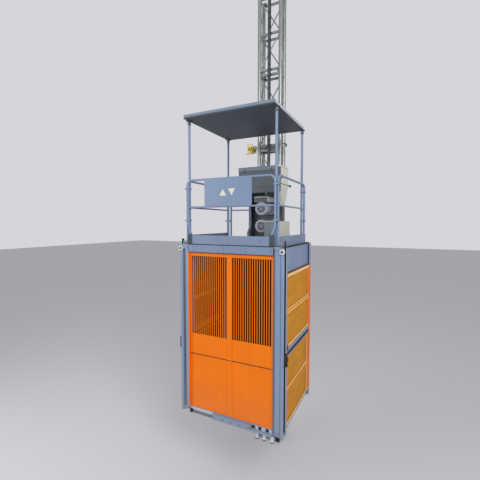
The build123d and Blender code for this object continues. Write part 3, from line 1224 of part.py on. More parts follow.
def all_parts():
    """Every node of the hoist by name, each a list of solids."""
    section, rack_length = mast_section(), rack()
    parts = {"base_frame": [base_frame()]}
    for index in range(SECTION_COUNT):
        lift = Pos(0, 0, index * SECTION_LENGTH)
        parts.setdefault("mast_sections", []).append(lift * section)
        parts.setdefault("racks", []).append(lift * rack_length)
    parts["mast_bolts"] = joint_bolts()
    parts["wall_tie"] = [wall_tie()]
    parts["tie_couplers"] = tie_couplers()
    parts["floor_frame"] = [floor_frame()]
    parts["floor_plate"] = [floor_plate()]
    parts["front_sill"] = [front_sill()]
    parts["sill_buffers"] = buffers()
    parts["front_panel_lower"] = [front_panel_lower()]
    parts["front_panel_upper"] = [front_panel_upper()]
    parts["rear_wall"] = [rear_wall()]
    parts["roof_deck"] = [roof_deck()]
    parts["roof_edge_boards"] = roof_edge_boards()
    parts["guard_front"] = [guard_front()]
    parts["guard_rear"] = [guard_rear()]
    parts["sign_panel"] = [sign_panel()]
    parts["grip_bar"] = [grip_bar()]
    parts["canopy_posts"] = canopy_posts()
    parts["canopy"] = [canopy()]
    parts["mast_side_frame"] = [mast_side_frame()]
    parts["machine_plate"] = [machine_plate()]
    parts["gearboxes"] = [gearbox(z) for z in DRIVE_Z[:2]]
    parts["motors"] = [motor(DRIVE_Z[0], side_box(DRIVE_Z[0])), motor(DRIVE_Z[1], top_box(DRIVE_Z[1]))]
    parts["fan_cowls"] = [fan_cowl(z) for z in DRIVE_Z[:2]]
    parts["safety_device"] = [safety_device()]
    parts["machine_hood"] = [machine_hood()]
    parts["control_cabinet"] = [control_cabinet()]
    parts["junction_box"] = [junction_box()]
    parts["junction_door"] = [junction_door()]
    parts["pinion_lower"] = [pinion(DRIVE_Z[0])]
    parts["pinion_upper"] = [pinion(DRIVE_Z[1])]
    parts["pinion_safety"] = [pinion(DRIVE_Z[2])]
    parts["door_headers"] = [door_header(side) for _, side in SIDES]
    parts["door_locks"] = [door_lock(side) for _, side in SIDES]
    for name, side in SIDES:
        parts["front_column_" + name] = [front_column(side)]
        parts["rear_column_" + name] = [rear_column(side)]
        parts["guard_" + name] = [guard_side(side)]
        upper = (UPPER_LEAF_FOOT + NOSING_HEIGHT, UPPER_LEAF_TOP, LEAF_UPPER_MEETING_RAIL, LEAF_RAIL)
        lower = (LOWER_LEAF_FOOT, LOWER_LEAF_TOP, LEAF_RAIL, LEAF_LOWER_MEETING_RAIL)
        parts["upper_leaf_" + name] = [leaf_frame(side, *upper)]
        parts["upper_mesh_" + name] = leaf_mesh(side, *upper)
        parts["lower_leaf_" + name] = [leaf_frame(side, *lower)]
        parts["lower_mesh_" + name] = leaf_mesh(side, *lower)
        parts["nosing_" + name] = [nosing(side)]
        parts["door_pulley_" + name] = [pulley(side)]
        parts["lock_lever_" + name] = [lock_lever(side)]
        parts["guide_roller_upper_" + name] = [guide_roller(side, UPPER_ROLLER_Z)]
        parts["guide_roller_lower_" + name] = [guide_roller(side, LOWER_ROLLER_Z)]
    return parts


os.makedirs("parts", exist_ok=True)
for node, solids in all_parts().items():
    shape = solids[0] if len(solids) == 1 else Compound(children=solids)
    export_step(shape, "parts/" + node + ".step")
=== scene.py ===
import functools
import json
import math
import bmesh
import bpy
import numpy as np
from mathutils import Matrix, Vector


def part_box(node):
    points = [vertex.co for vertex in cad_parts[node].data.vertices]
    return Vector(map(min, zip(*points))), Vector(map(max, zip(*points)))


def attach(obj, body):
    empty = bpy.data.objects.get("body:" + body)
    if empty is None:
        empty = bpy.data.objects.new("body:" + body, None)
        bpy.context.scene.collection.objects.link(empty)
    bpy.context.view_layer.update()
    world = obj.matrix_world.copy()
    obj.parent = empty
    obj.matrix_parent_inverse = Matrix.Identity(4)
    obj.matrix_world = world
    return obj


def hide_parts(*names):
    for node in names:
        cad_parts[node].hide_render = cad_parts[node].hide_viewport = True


# Lift shaft hoist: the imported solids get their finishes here, with the small pieces that dress them.
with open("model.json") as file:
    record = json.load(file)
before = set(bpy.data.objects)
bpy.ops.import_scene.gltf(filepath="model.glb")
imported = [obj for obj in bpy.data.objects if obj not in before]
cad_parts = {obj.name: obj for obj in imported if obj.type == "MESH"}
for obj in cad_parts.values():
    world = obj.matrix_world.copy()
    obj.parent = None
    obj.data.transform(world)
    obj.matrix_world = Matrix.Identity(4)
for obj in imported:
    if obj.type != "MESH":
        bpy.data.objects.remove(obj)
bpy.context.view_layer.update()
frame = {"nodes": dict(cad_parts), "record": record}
nodes = frame["nodes"]
MM = 0.001
SIDES = (("left", -1), ("right", 1))
LEFT, RIGHT = (-1, 0, 0), (1, 0, 0)
FRONT, BACK = (0, -1, 0), (0, 1, 0)
DOWN, UP = (0, 0, -1), (0, 0, 1)
LEVELS = ("upper", "lower")
CAR_FOOT = 1330 * MM
CAR_AXIS_Y = -1115 * MM
CANOPY_RIM_FOOT = 6326 * MM


def corners(node):
    """Lowest and highest corner of a node at rest, as arrays in millimetres."""
    return tuple(np.array(corner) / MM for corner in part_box(node))


def linear(code):
    """sRGB hex to linear colour: ((c + 0.055) / 1.055) ** 2.4 per channel, or c / 12.92 where it is dark."""
    channels = [int(code[start:start + 2], 16) / 255 for start in (1, 3, 5)]
    return tuple(c / 12.92 if c <= 0.04045 else ((c + 0.055) / 1.055) ** 2.4 for c in channels) + (1.0,)


def feed(node, inputs):
    """Sets or links a node's inputs. A node given as a value stands for its first output."""
    for key, value in inputs.items():
        if isinstance(value, bpy.types.Node):
            value = value.outputs[0]
        if isinstance(value, bpy.types.NodeSocket):
            node.id_data.links.new(value, node.inputs[key])
        else:
            node.inputs[key].default_value = value


def add_node(tree, kind, inputs=None, **settings):
    """Adds one shader node to a tree, sets its properties and feeds its inputs."""
    made = tree.nodes.new("ShaderNode" + kind)
    for name, value in settings.items():
        setattr(made, name, value)
    feed(made, inputs or {})
    return made


def new_finish(name):
    """An empty material: what adds nodes to it, its shader and the Object coordinates in metres."""
    finish = bpy.data.materials.new(name)
    finish.use_nodes = True
    finish.node_tree.nodes.clear()
    add = functools.partial(add_node, finish.node_tree)
    shader = add("BsdfPrincipled")
    add("OutputMaterial", {"Surface": shader})
    return finish, add, shader, add("TexCoord").outputs["Object"]


# Finishes
def powder_coat(name, colour, runs_colour, roughness=0.45, runs=0.35, sheen=0.5, dust_share=0.5):
    """Polyester powder on folded sheet steel: an even satin colour with faint clouds, rain runs and orange
    peel, site dust that thickens towards the car's foot, and small chips down to the grey primer."""
    finish, add, shader, place = new_finish(name)
    # clouds half a metre across, runs 45 mm wide and 1.5 m long
    clouds = add("TexNoise", {"Vector": place, "Scale": 1 / (500 * MM), "Detail": 3.0})
    tall = add("Mapping", {"Vector": place, "Scale": (1 / (45 * MM), 1 / (45 * MM), 1 / (1500 * MM))})
    streaks = add("TexNoise", {"Vector": tall, "Scale": 1.0, "Detail": 4.0, "Roughness": 0.65})
    both = add("Math", {0: clouds, 1: streaks}, operation="MULTIPLY")
    share = add("MapRange", {0: both, 1: 0.18, 2: 0.48, 4: runs})
    tone = add("Mix", {0: share, 6: linear(colour), 7: linear(runs_colour)}, data_type="RGBA")
    # dust fades out 700 mm above the car's foot, and lies in patches of 120 mm
    height = add("SeparateXYZ", {0: place}).outputs[2]
    dust_top = CAR_FOOT + 700 * MM
    near_foot = add("MapRange", {0: height, 1: dust_top, 2: CAR_FOOT, 4: dust_share})
    patches = add("TexNoise", {"Vector": place, "Scale": 1 / (120 * MM), "Detail": 5.0, "Roughness": 0.6})
    dust = add("Math", {0: near_foot, 1: patches}, operation="MULTIPLY")
    dusty = add("Mix", {0: dust, 6: tone.outputs[2], 7: linear("#9A8F84")}, data_type="RGBA")
    # chips of about 6 mm, few and far between
    specks = add("TexNoise", {"Vector": place, "Scale": 1 / (22 * MM), "Detail": 2.0})
    chips = add("MapRange", {0: specks, 1: 0.765, 2: 0.785, 4: 0.8})
    chipped = add("Mix", {0: chips, 6: dusty.outputs[2], 7: linear("#6B6A68")}, data_type="RGBA")
    # peel of 5 mm, drawn coarser than life so that it shows
    peel = add("TexNoise", {"Vector": place, "Scale": 1 / (5 * MM), "Detail": 2.0})
    skin = add("Bump", {"Height": peel, "Strength": 0.12, "Distance": 0.4 * MM})
    gloss = add("MapRange", {0: clouds, 1: 0.3, 2: 0.7, 3: roughness - 0.06, 4: roughness + 0.08})
    feed(shader, {"Base Color": chipped.outputs[2], "Roughness": gloss, "Normal": skin,
                  "Specular IOR Level": sheen})
    return finish


def canopy_coat(name, top_colour, shade_colour):
    """Powder coat on the canopy: top and rim in the car's colour, painted shade on the under side and the
    rim's foot.
    """
    finish, add, shader, place = new_finish(name)
    # painted shade: faces turned down, and the rim's lowest few millimetres, take the dark shade colour
    facing = add("SeparateXYZ", {0: add("NewGeometry").outputs["Normal"]}).outputs[2]
    under = add("MapRange", {0: facing, 1: -0.3, 2: -0.6})
    height = add("SeparateXYZ", {0: place}).outputs[2]
    fade = (CANOPY_RIM_FOOT + 2 * MM, CANOPY_RIM_FOOT - 2 * MM)
    rim_foot_shade = add("MapRange", {0: height, 1: fade[0], 2: fade[1]})
    dark = add("Math", {0: under, 1: rim_foot_shade}, operation="MAXIMUM")
    clouds = add("TexNoise", {"Vector": place, "Scale": 1 / (400 * MM), "Detail": 4.0})
    tone = add("Mix", {0: dark, 6: linear(top_colour), 7: linear(shade_colour)}, data_type="RGBA")
    shade = add("MapRange", {0: clouds, 1: 0.3, 2: 0.7, 3: 0.86, 4: 1.08})
    worn_and_shaded = add("VectorMath", {0: tone.outputs[2], "Scale": shade}, operation="SCALE")
    feed(shader, {"Base Color": worn_and_shaded, "Roughness": 0.5})
    return finish


def inside_shaded_coat(name, outer_colour, inside_shade_colour):
    """Powder coat on the car's walls: clean outside, and inside, where the surface faces the car's upright
    axis, darkened to brown as painted shade within the closed car, and scuffed by goods."""
    finish, add, shader, place = new_finish(name)
    from_axis = {0: place, 1: (1, 1, 0), 2: (0, -CAR_AXIS_Y, 0)}
    outward = add("VectorMath", from_axis, operation="MULTIPLY_ADD")
    normal = add("NewGeometry").outputs["Normal"]
    facing = add("VectorMath", {0: normal, 1: outward}, operation="DOT_PRODUCT").outputs["Value"]
    # painted shade: faces turned towards the car's axis take the dark inside colour
    inside = add("MapRange", {0: facing, 1: -0.1, 2: -0.3})
    # scuffs 80 mm high that run 400 mm along the wall
    flat = add("Mapping", {"Vector": place, "Scale": (1 / (400 * MM), 1 / (400 * MM), 1 / (80 * MM))})
    scuffs = add("TexNoise", {"Vector": flat, "Scale": 1.0, "Detail": 4.0})
    tone = add("Mix", {0: inside, 6: linear(outer_colour), 7: linear(inside_shade_colour)}, data_type="RGBA")
    shade = add("MapRange", {0: scuffs, 1: 0.3, 2: 0.7, 3: 0.85, 4: 1.05})
    worn_and_shaded = add("VectorMath", {0: tone.outputs[2], "Scale": shade}, operation="SCALE")
    feed(shader, {"Base Color": worn_and_shaded, "Roughness": 0.5, "Specular IOR Level": 0.2})
    return finish


def hot_dip_zinc(name, light_colour, dark_colour):
    """Hot-dip galvanised steel: grey zinc with spangle of about 14 mm and dull white patches."""
    finish, add, shader, place = new_finish(name)
    spangle = add("TexVoronoi", {"Vector": place, "Scale": 1 / (14 * MM)})
    grain = add("SeparateColor", {0: spangle.outputs["Color"]})
    patches = add("TexNoise", {"Vector": place, "Scale": 1 / (220 * MM), "Detail": 5.0})
    mixed = add("Math", {0: grain, 1: patches}, operation="ADD")
    share = add("MapRange", {0: mixed, 1: 0.1, 2: 1.6})
    tone = add("Mix", {0: share, 6: linear(dark_colour), 7: linear(light_colour)}, data_type="RGBA")
    gloss = add("MapRange", {0: grain, 3: 0.33, 4: 0.38})
    feed(shader, {"Base Color": tone.outputs[2], "Roughness": gloss, "Metallic": 0.8})
    return finish


def machined_steel(name, colour, oil_colour, roughness, grain_mm):
    """Machined steel: fine tool marks, with oil or handling stains in clouds."""
    finish, add, shader, place = new_finish(name)
    stains = add("TexNoise", {"Vector": place, "Scale": 1 / (90 * MM), "Detail": 5.0, "Roughness": 0.6})
    share = add("MapRange", {0: stains, 1: 0.42, 2: 0.66, 4: 0.8})
    tone = add("Mix", {0: share, 6: linear(colour), 7: linear(oil_colour)}, data_type="RGBA")
    marks = add("TexNoise", {"Vector": place, "Scale": 1 / (grain_mm * MM), "Detail": 1.0})
    skin = add("Bump", {"Height": marks, "Strength": 0.2, "Distance": 0.2 * MM})
    gloss = add("MapRange", {0: stains, 1: 0.3, 2: 0.7, 3: roughness + 0.1, 4: roughness - 0.05})
    feed(shader, {"Base Color": tone.outputs[2], "Roughness": gloss, "Normal": skin, "Metallic": 0.85})
    return finish


def chequer_plate(name, colour, dirt_colour):
    """Rolled aluminium chequer plate: raised lozenges 30 mm apart in two crossed directions, dirt between."""
    finish, add, shader, place = new_finish(name)
    # the bands of a wave texture stand 2 pi / (20 * scale) apart
    pitch = 30 * MM
    bands = 2 * math.pi / (20 * pitch)
    ridges = []
    for turn in (45, -45):
        turned_place = add("Mapping", {"Vector": place, "Rotation": (0, 0, math.radians(turn))})
        ridges.append(add("TexWave", {"Vector": turned_place, "Scale": bands}).outputs["Fac"])
    lozenge = add("Math", {0: ridges[0], 1: ridges[1]}, operation="MULTIPLY")
    raised = add("MapRange", {0: lozenge, 1: 0.35, 2: 0.6})
    scuffs = add("TexNoise", {"Vector": place, "Scale": 1 / (160 * MM), "Detail": 6.0})
    share = add("MapRange", {0: scuffs, 1: 0.4, 2: 0.65, 4: 0.7})
    tone = add("Mix", {0: share, 6: linear(colour), 7: linear(dirt_colour)}, data_type="RGBA")
    skin = add("Bump", {"Height": raised, "Strength": 0.6, "Distance": 1.5 * MM})
    feed(shader, {"Base Color": tone.outputs[2], "Normal": skin, "Metallic": 0.6, "Roughness": 0.45})
    return finish


def moulded_plastic(name, colour, dust_colour, grain_mm, roughness):
    """Moulded plastic or rubber: a fine grained skin that dust dulls in clouds."""
    finish, add, shader, place = new_finish(name)
    dust = add("TexNoise", {"Vector": place, "Scale": 1 / (60 * MM), "Detail": 5.0})
    share = add("MapRange", {0: dust, 1: 0.45, 2: 0.75, 4: 0.5})
    tone = add("Mix", {0: share, 6: linear(colour), 7: linear(dust_colour)}, data_type="RGBA")
    grain = add("TexNoise", {"Vector": place, "Scale": 1 / (grain_mm * MM), "Detail": 2.0})
    skin = add("Bump", {"Height": grain, "Strength": 0.25, "Distance": 0.3 * MM})
    feed(shader, {"Base Color": tone.outputs[2], "Normal": skin, "Roughness": roughness})
    return finish


# Each finish is kept under the name of the record's material slot
finishes = {
    "blue_paint": powder_coat("blue_grey_powder_coat", "#8296B6", "#6C7C98"),
    "sign_paint": powder_coat("sign_powder_coat", "#7A8DAA", "#6C7E98"),
    # the canopy's second colour is painted shade for its under side and its rim's foot
    "canopy_paint": canopy_coat("canopy_powder_coat", "#7A8CA0", "#454E58"),
    "orange_paint": powder_coat("orange_powder_coat", "#F67C0A", "#DC6A0E", 0.5, 0.45, 0.2, 0.2),
    # the wire's inside colour is painted shade within the car
    "mesh_paint": inside_shaded_coat("ochre_wire_coat", "#D4922C", "#6A3F14"),
    "galvanised": hot_dip_zinc("hot_dip_zinc", "#AEB4B0", "#7A817E"),
    "dark_steel": machined_steel("oiled_rack_steel", "#6A6D74", "#3A3D42", 0.4, 3),
    "bright_steel": machined_steel("turned_bright_steel", "#D4D8DE", "#A9AFB8", 0.3, 2),
    "roller_steel": machined_steel("roller_steel", "#8A8D92", "#55585D", 0.35, 2),
    "floor_sheet": chequer_plate("chequer_plate", "#9DA1A6", "#6E7073"),
    "machine_grey": powder_coat("machine_enamel", "#A9AFBE", "#868B98", 0.4, 0.5),
    # dark grey of the hood, also painted shade on the fronts of the terminal boxes and the cabinet
    "hood_grey": powder_coat("hood_enamel", "#555D63", "#484F55", 0.48, 0.4),
    # dark grey: painted shade on the machine plate and the mast-side frame, also on a line on the left column
    "plate_paint": powder_coat("machine_plate_shade_enamel", "#4A5258", "#3C4348", 0.5, 0.4),
    "beige_paint": powder_coat("pebble_grey_enamel", "#DAD8CA", "#C0BEB2", 0.45, 0.4),
    "black_plastic": moulded_plastic("black_moulded_plastic", "#141416", "#3A3A3C", 1.5, 0.5),
    # black rubber, also painted shade and shadow in the guide grooves, the sill's pockets, under the fascia
    # and along the headers
    "black_rubber": moulded_plastic("black_rubber", "#101011", "#333334", 2.5, 0.75),
    # grip bar enamel, also painted shade in the right column's recess and on the sill's kick strip
    "grip_steel": powder_coat("grip_bar_enamel", "#5E6674", "#4B515C"),
    "yellow_paint": powder_coat("yellow_enamel", "#F0CC12", "#B89A10", 0.45, 0.6),
}
# More finishes, each for pieces that share a slot with other ones
finishes.update({
    "leaf_ochre": powder_coat("ochre_frame_coat", "#DE9030", "#C87C28", 0.5, 0.4, 0.25, 0.25),
    # cream and amber: painted highlight on the lit edges of the leaves' rails
    "highlight_cream": powder_coat("cream_highlight_coat", "#FFDCA0", "#F6C47C", 0.45, 0.4, 0.3, 0.0),
    "highlight_amber": powder_coat("amber_highlight_coat", "#FFD480", "#FABE66", 0.45, 0.4, 0.25, 0.0),
    # pale blue: painted highlight on lit edges at the slots' mouths, the sill's lip and the canopy's sides,
    # and the colour of the plates beside the sill's pockets
    "pale_blue_and_highlight": powder_coat("pale_blue_and_highlight_coat", "#BCC5D3", "#A4AEBF"),
    "hood_lid": powder_coat("hood_lid_enamel", "#747E88", "#666F78", 0.42, 0.4),
    # dark grey pads: painted shade at the toe board's corners
    "corner_pad_shade": moulded_plastic("corner_pad_rubber", "#3C434E", "#4E5560", 2.5, 0.7),
    # pale enamel: painted light on the terminal boxes' lids and right faces
    "lid_enamel": powder_coat("pale_lid_painted_light", "#D2D6D6", "#B8BCBC", 0.42, 0.4),
    "door_grey": powder_coat("junction_door_enamel", "#7E8A90", "#6E797F"),
    # the rear wall's inside colour is painted shade within the car
    "wall_orange": inside_shaded_coat("rear_wall_coat", "#F27A0C", "#8A4410"),
    "board_blue": powder_coat("edge_board_coat", "#788AA6", "#64728A"),
    "white_nylon": moulded_plastic("white_nylon", "#CFD3DA", "#AEB3BC", 1.5, 0.4),
})
# Nodes that wear one of these in place of their slot's own finish
worn_by = {
    "leaf_ochre": ["%s_leaf_%s" % (level, side) for level in LEVELS for side, _ in SIDES],
    "white_nylon": ["door_pulley_left", "door_pulley_right", "sill_buffers"],
    "door_grey": ["junction_door"],
    "board_blue": ["roof_edge_boards"],
    "wall_orange": ["rear_wall"],
}
finish_of = {entry["node"]: entry["material_slot"] for entry in frame["record"]["subparts"]}
finish_of.update({name: finish for finish, names in worn_by.items() for name in names})
for node, finish in finish_of.items():
    for place in nodes[node].material_slots:
        place.material = finishes[finish]


# Surfaces: lengths are in millimetres from here on, and make() turns them into metres
def repeated(points, columns, closed=False):
    """Many copies of one grid: points are copy, then grid point, row after row, each row a ring of columns.
    Each copy gets quads between its rows, and a cap at both ends or quads from its last row to its first."""
    copies, size = points.shape[:2]
    rows = size // columns
    row, column = np.meshgrid(np.arange(rows if closed else rows - 1), np.arange(columns), indexing="ij")
    next_row, next_column = (row + 1) % rows, (column + 1) % columns
    quad = (row * columns + column, row * columns + next_column, next_row * columns + next_column,
            next_row * columns + column)
    groups = [np.stack(quad, -1).reshape(-1, 4)]
    if not closed:
        groups += [np.arange(columns)[None, ::-1], np.arange(size - columns, size)[None]]
    shift = (np.arange(copies) * size)[:, None, None]
    return points.reshape(-1, 3), [(group[None] + shift).reshape(-1, group.shape[1]) for group in groups]


def ring_round(axis, sides):
    """Unit axis and a unit ring square to it: cos t * first + sin t * second."""
    axis = np.asarray(axis, float) / np.linalg.norm(axis)
    first = np.cross(UP if abs(axis[2]) < 0.9 else RIGHT, axis)
    first /= np.linalg.norm(first)
    t = np.linspace(0, 2 * math.pi, sides, endpoint=False)[:, None]
    return axis, np.cos(t) * first + np.sin(t) * np.cross(axis, first)


def turned(profile, places, axis, sides):
    """Profile of radius and height pairs turned round an axis at each place:
    place + height * axis + radius * ring."""
    profile = np.asarray(profile, float)
    axis, ring = ring_round(axis, sides)
    shape = profile[:, 1, None, None] * axis + profile[:, 0, None, None] * ring
    return repeated(np.atleast_2d(places)[:, None, :] + shape.reshape(1, -1, 3), sides)


def blocks(starts, ends, chamfer=1.5):
    """Blocks between opposite corners, with chamfered edges: four eight-cornered rings, the end ones drawn in
    by the chamfer."""
    starts, ends = np.atleast_2d(starts).astype(float), np.atleast_2d(ends).astype(float)
    middle, half = (starts + ends) / 2, np.abs(ends - starts) / 2
    chamfer = np.minimum(chamfer, half.min(1) * 0.45)[:, None, None]
    sign = np.array([(1, -1), (1, 1), (1, 1), (-1, 1), (-1, 1), (-1, -1), (-1, -1), (1, -1)], float)
    cut = np.array([(0, 1), (0, 1), (1, 0), (1, 0), (0, 1), (0, 1), (1, 0), (1, 0)], float)
    ring = sign * (half[:, None, :2] - chamfer * cut)
    levels = ((-1, 1), (-1, 0), (1, 0), (1, 1))
    rings = []
    for side, drawn_in in levels:
        flat = ring - sign * chamfer * drawn_in * (1 - cut)
        level = np.broadcast_to(side * (half[:, None, 2:] - chamfer * (1 - drawn_in)), flat[..., :1].shape)
        rings.append(np.concatenate((flat, level), -1))
    points = middle[:, None, :] + np.concatenate(rings, 1)
    return repeated(points, len(sign))


def wires(starts, ends, radius, sides=6):
    """Straight round wires that share one direction: a ring of points at each end."""
    starts, ends = np.atleast_2d(starts), np.atleast_2d(ends)
    ring = radius * ring_round(ends[0] - starts[0], sides)[1]
    return repeated(np.concatenate((starts[:, None] + ring, ends[:, None] + ring), 1), sides)


def carried(path, radius, sides, closed=False):
    """Round bar carried along a bent path: path + radius * (cos t * normal + sin t * side), both square to
    the path's tangent."""
    path = np.asarray(path, float)
    ahead = np.roll(path, -1, 0) - np.roll(path, 1, 0) if closed else np.gradient(path, axis=0)
    tangent = ahead / np.linalg.norm(ahead, axis=1)[:, None]
    normal = np.linalg.svd(path - path.mean(0))[2][2]
    side = np.cross(tangent, normal)
    t = np.linspace(0, 2 * math.pi, sides, endpoint=False)[:, None]
    ring = np.cos(t) * normal + np.sin(t) * side[:, None, :]
    return repeated((path[:, None, :] + radius * ring).reshape(1, -1, 3), sides, closed)


def arc(middle, radius, first, second, start, end, steps):
    """Points of an arc in the plane of two directions, from one angle in degrees to another."""
    t = np.radians(np.linspace(start, end, steps))[:, None]
    return np.asarray(middle) + radius * (np.cos(t) * np.asarray(first) + np.sin(t) * np.asarray(second))


def spread(*ranges):
    """Every combination of the given X, Y and Z values, as points. Each is one number or several."""
    return np.stack(np.meshgrid(*ranges, indexing="ij"), -1).reshape(-1, 3)


def make(name, shapes, finish, body="car", crease=40):
    """One piece from several surfaces in millimetres: merged, turned outwards, shaded smooth below the crease
    angle in degrees, and carried by a body."""
    points, faces, count = [], [], 0
    for shape_points, shape_faces in shapes:
        points.append(shape_points)
        for group in shape_faces:
            faces += (group + count).tolist()
        count += len(shape_points)
    mesh = bpy.data.meshes.new(name)
    mesh.from_pydata((np.concatenate(points) * MM).tolist(), [], faces)
    work = bmesh.new()
    work.from_mesh(mesh)
    bmesh.ops.remove_doubles(work, verts=work.verts, dist=1e-6)
    bmesh.ops.recalc_face_normals(work, faces=work.faces)
    work.to_mesh(mesh)
    work.free()
    mesh.shade_smooth()
    mesh.set_sharp_from_angle(angle=math.radians(crease))
    piece = bpy.data.objects.new(name, mesh)
    bpy.context.scene.collection.objects.link(piece)
    mesh.materials.append(finishes[finish])
    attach(piece, body)
    return piece


def plates(outline, places, first, second, thickness):
    """Flat outline of pairs (a, b) drawn out by a thickness at each place:
    place + a * first + b * second + h * normal."""
    outline = np.asarray(outline, float)
    first, second = np.asarray(first, float), np.asarray(second, float)
    flat = outline[:, :1] * first + outline[:, 1:] * second
    shape = np.concatenate((flat, flat + thickness * np.cross(first, second)))
    return repeated(np.atleast_2d(places)[:, None, :] + shape[None], len(outline))


def rounded(width, height, radius, steps=4):
    """Outline of a rectangle with round corners, centred on zero: four quarter arcs in turn."""
    quarter = np.radians(np.linspace(0, 90, steps))
    turn = np.radians([0, 90, 180, 270])[:, None] + quarter
    sign = np.array([(1, 1), (-1, 1), (-1, -1), (1, -1)], float)[:, None, :]
    middle = sign * (np.array((width, height)) / 2 - radius)
    return (middle + radius * np.stack((np.cos(turn), np.sin(turn)), -1)).reshape(-1, 2)


def fan_blades(middle, count, inner, outer, chord, pitch, thickness):
    """Flat blades round an axis along Y: four corners across each blade, carried from hub to tip at
    middle + radius * out + a * chord * lean + b * thickness * face, as the pitch eases."""
    turn = np.arange(count) * 2 * math.pi / count
    radius = np.linspace(inner, outer, 5)[None, :, None, None]
    out = np.stack((np.cos(turn), np.zeros(count), np.sin(turn)), -1)[:, None, None, :]
    along = np.stack((-np.sin(turn), np.zeros(count), np.cos(turn)), -1)[:, None, None, :]
    axis = np.array(BACK, float)
    tilt = np.radians(pitch) * np.linspace(1.2, 0.8, 5)[None, :, None, None]
    lean = np.cos(tilt) * along + np.sin(tilt) * axis
    face = np.cos(tilt) * axis - np.sin(tilt) * along
    corner = np.array([(-0.5, -0.5), (0.5, -0.5), (0.5, 0.5), (-0.5, 0.5)])[None, None]
    points = middle + radius * out + corner[..., :1] * chord * lean + corner[..., 1:] * thickness * face
    return repeated(points.reshape(count, -1, 3), 4)


def domes(places, axis, radius):
    """Low dome heads of rivets and screws: a rim, a shoulder and a small flat, turned in eight sides."""
    profile = np.array([(1.0, 0.0), (0.92, 0.28), (0.62, 0.5), (0.2, 0.58)]) * radius
    return turned(profile, places, axis, 8)


def bolt_heads(places, axis, size):
    """Hex heads on washers: size is the thread's, the head 1.7 and the washer 2.1 of it across."""
    washer = np.array([(1.05, 0), (1.05, 0.12), (0.9, 0.16)]) * size
    head = np.array([(0.86, 0.16), (0.86, 0.68), (0.74, 0.8)]) * size
    return [turned(washer, places, axis, 14), turned(head, places, axis, 6)]


# Door leaves: fine wire mesh, coloured meeting rails and fasteners
WIRE_PITCH = 8
WIRE_RADIUS = 2.5
HALF_RAIL = 35
LEAF_TONGUE = 23


def leaf_mesh(level, side, outward):
    """Welded wires in both openings of a leaf: upright wires outside, level wires inside, one pitch apart."""
    node = "%s_mesh_%s" % (level, side)
    low, high = corners(node)
    middle = (low[0] + high[0]) / 2
    centre = (low[2] + high[2]) / 2
    shapes = []
    for foot, head in ((low[2], centre - HALF_RAIL), (centre + HALF_RAIL, high[2])):
        columns = np.linspace(low[1], high[1], round((high[1] - low[1]) / WIRE_PITCH) + 1)[1:-1]
        rows = np.linspace(foot, head, round((head - foot) / WIRE_PITCH) + 1)[1:-1]
        x = middle + outward * WIRE_RADIUS
        shapes.append(wires(spread(x, columns, foot), spread(x, columns, head), WIRE_RADIUS))
        x = middle - outward * WIRE_RADIUS
        shapes.append(wires(spread(x, low[1], rows), spread(x, high[1], rows), WIRE_RADIUS))
    piece = make("%s_wire_%s" % (level, side), shapes, "mesh_paint", "%s_leaf_%s" % (level, side), 60)
    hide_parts(node)


# Car: fasteners, trims and linings on the outside
column_low, column_high = corners("front_column_right")
rear_low, rear_high = corners("rear_column_right")
wall_low, wall_high = corners("front_panel_upper")
COLUMN_FOOT, COLUMN_HEAD = column_low[2], column_high[2]
COLUMN_BACK = column_high[1]
FRONT_FACE = COLUMN_BACK - 170
REAR_FACE = rear_high[1]
OUTER_FACE = column_high[0]
DECK_SIDE, _, DECK_LEVEL = corners("roof_deck")[1]
FASCIA_FOOT = corners("roof_edge_boards")[0][2]
SLOT_FROM, SLOT_TO = FRONT_FACE + 14, FRONT_FACE + 98
SLOT_DEPTH = 27
TRIM_FOOT, TRIM_HEAD = COLUMN_FOOT + 70, COLUMN_HEAD - 17
WALL_HALF = wall_high[0]
WALL_FOOT, WALL_HEAD = corners("front_panel_lower")[0][2] + 2, FASCIA_FOOT - 2
WALL_FACE = FRONT_FACE + 30
COLUMN_STEP = 15
LAP_RISE = 1.5
POST_X, POST_FRONT, POST_REAR = 775, -1823, -449


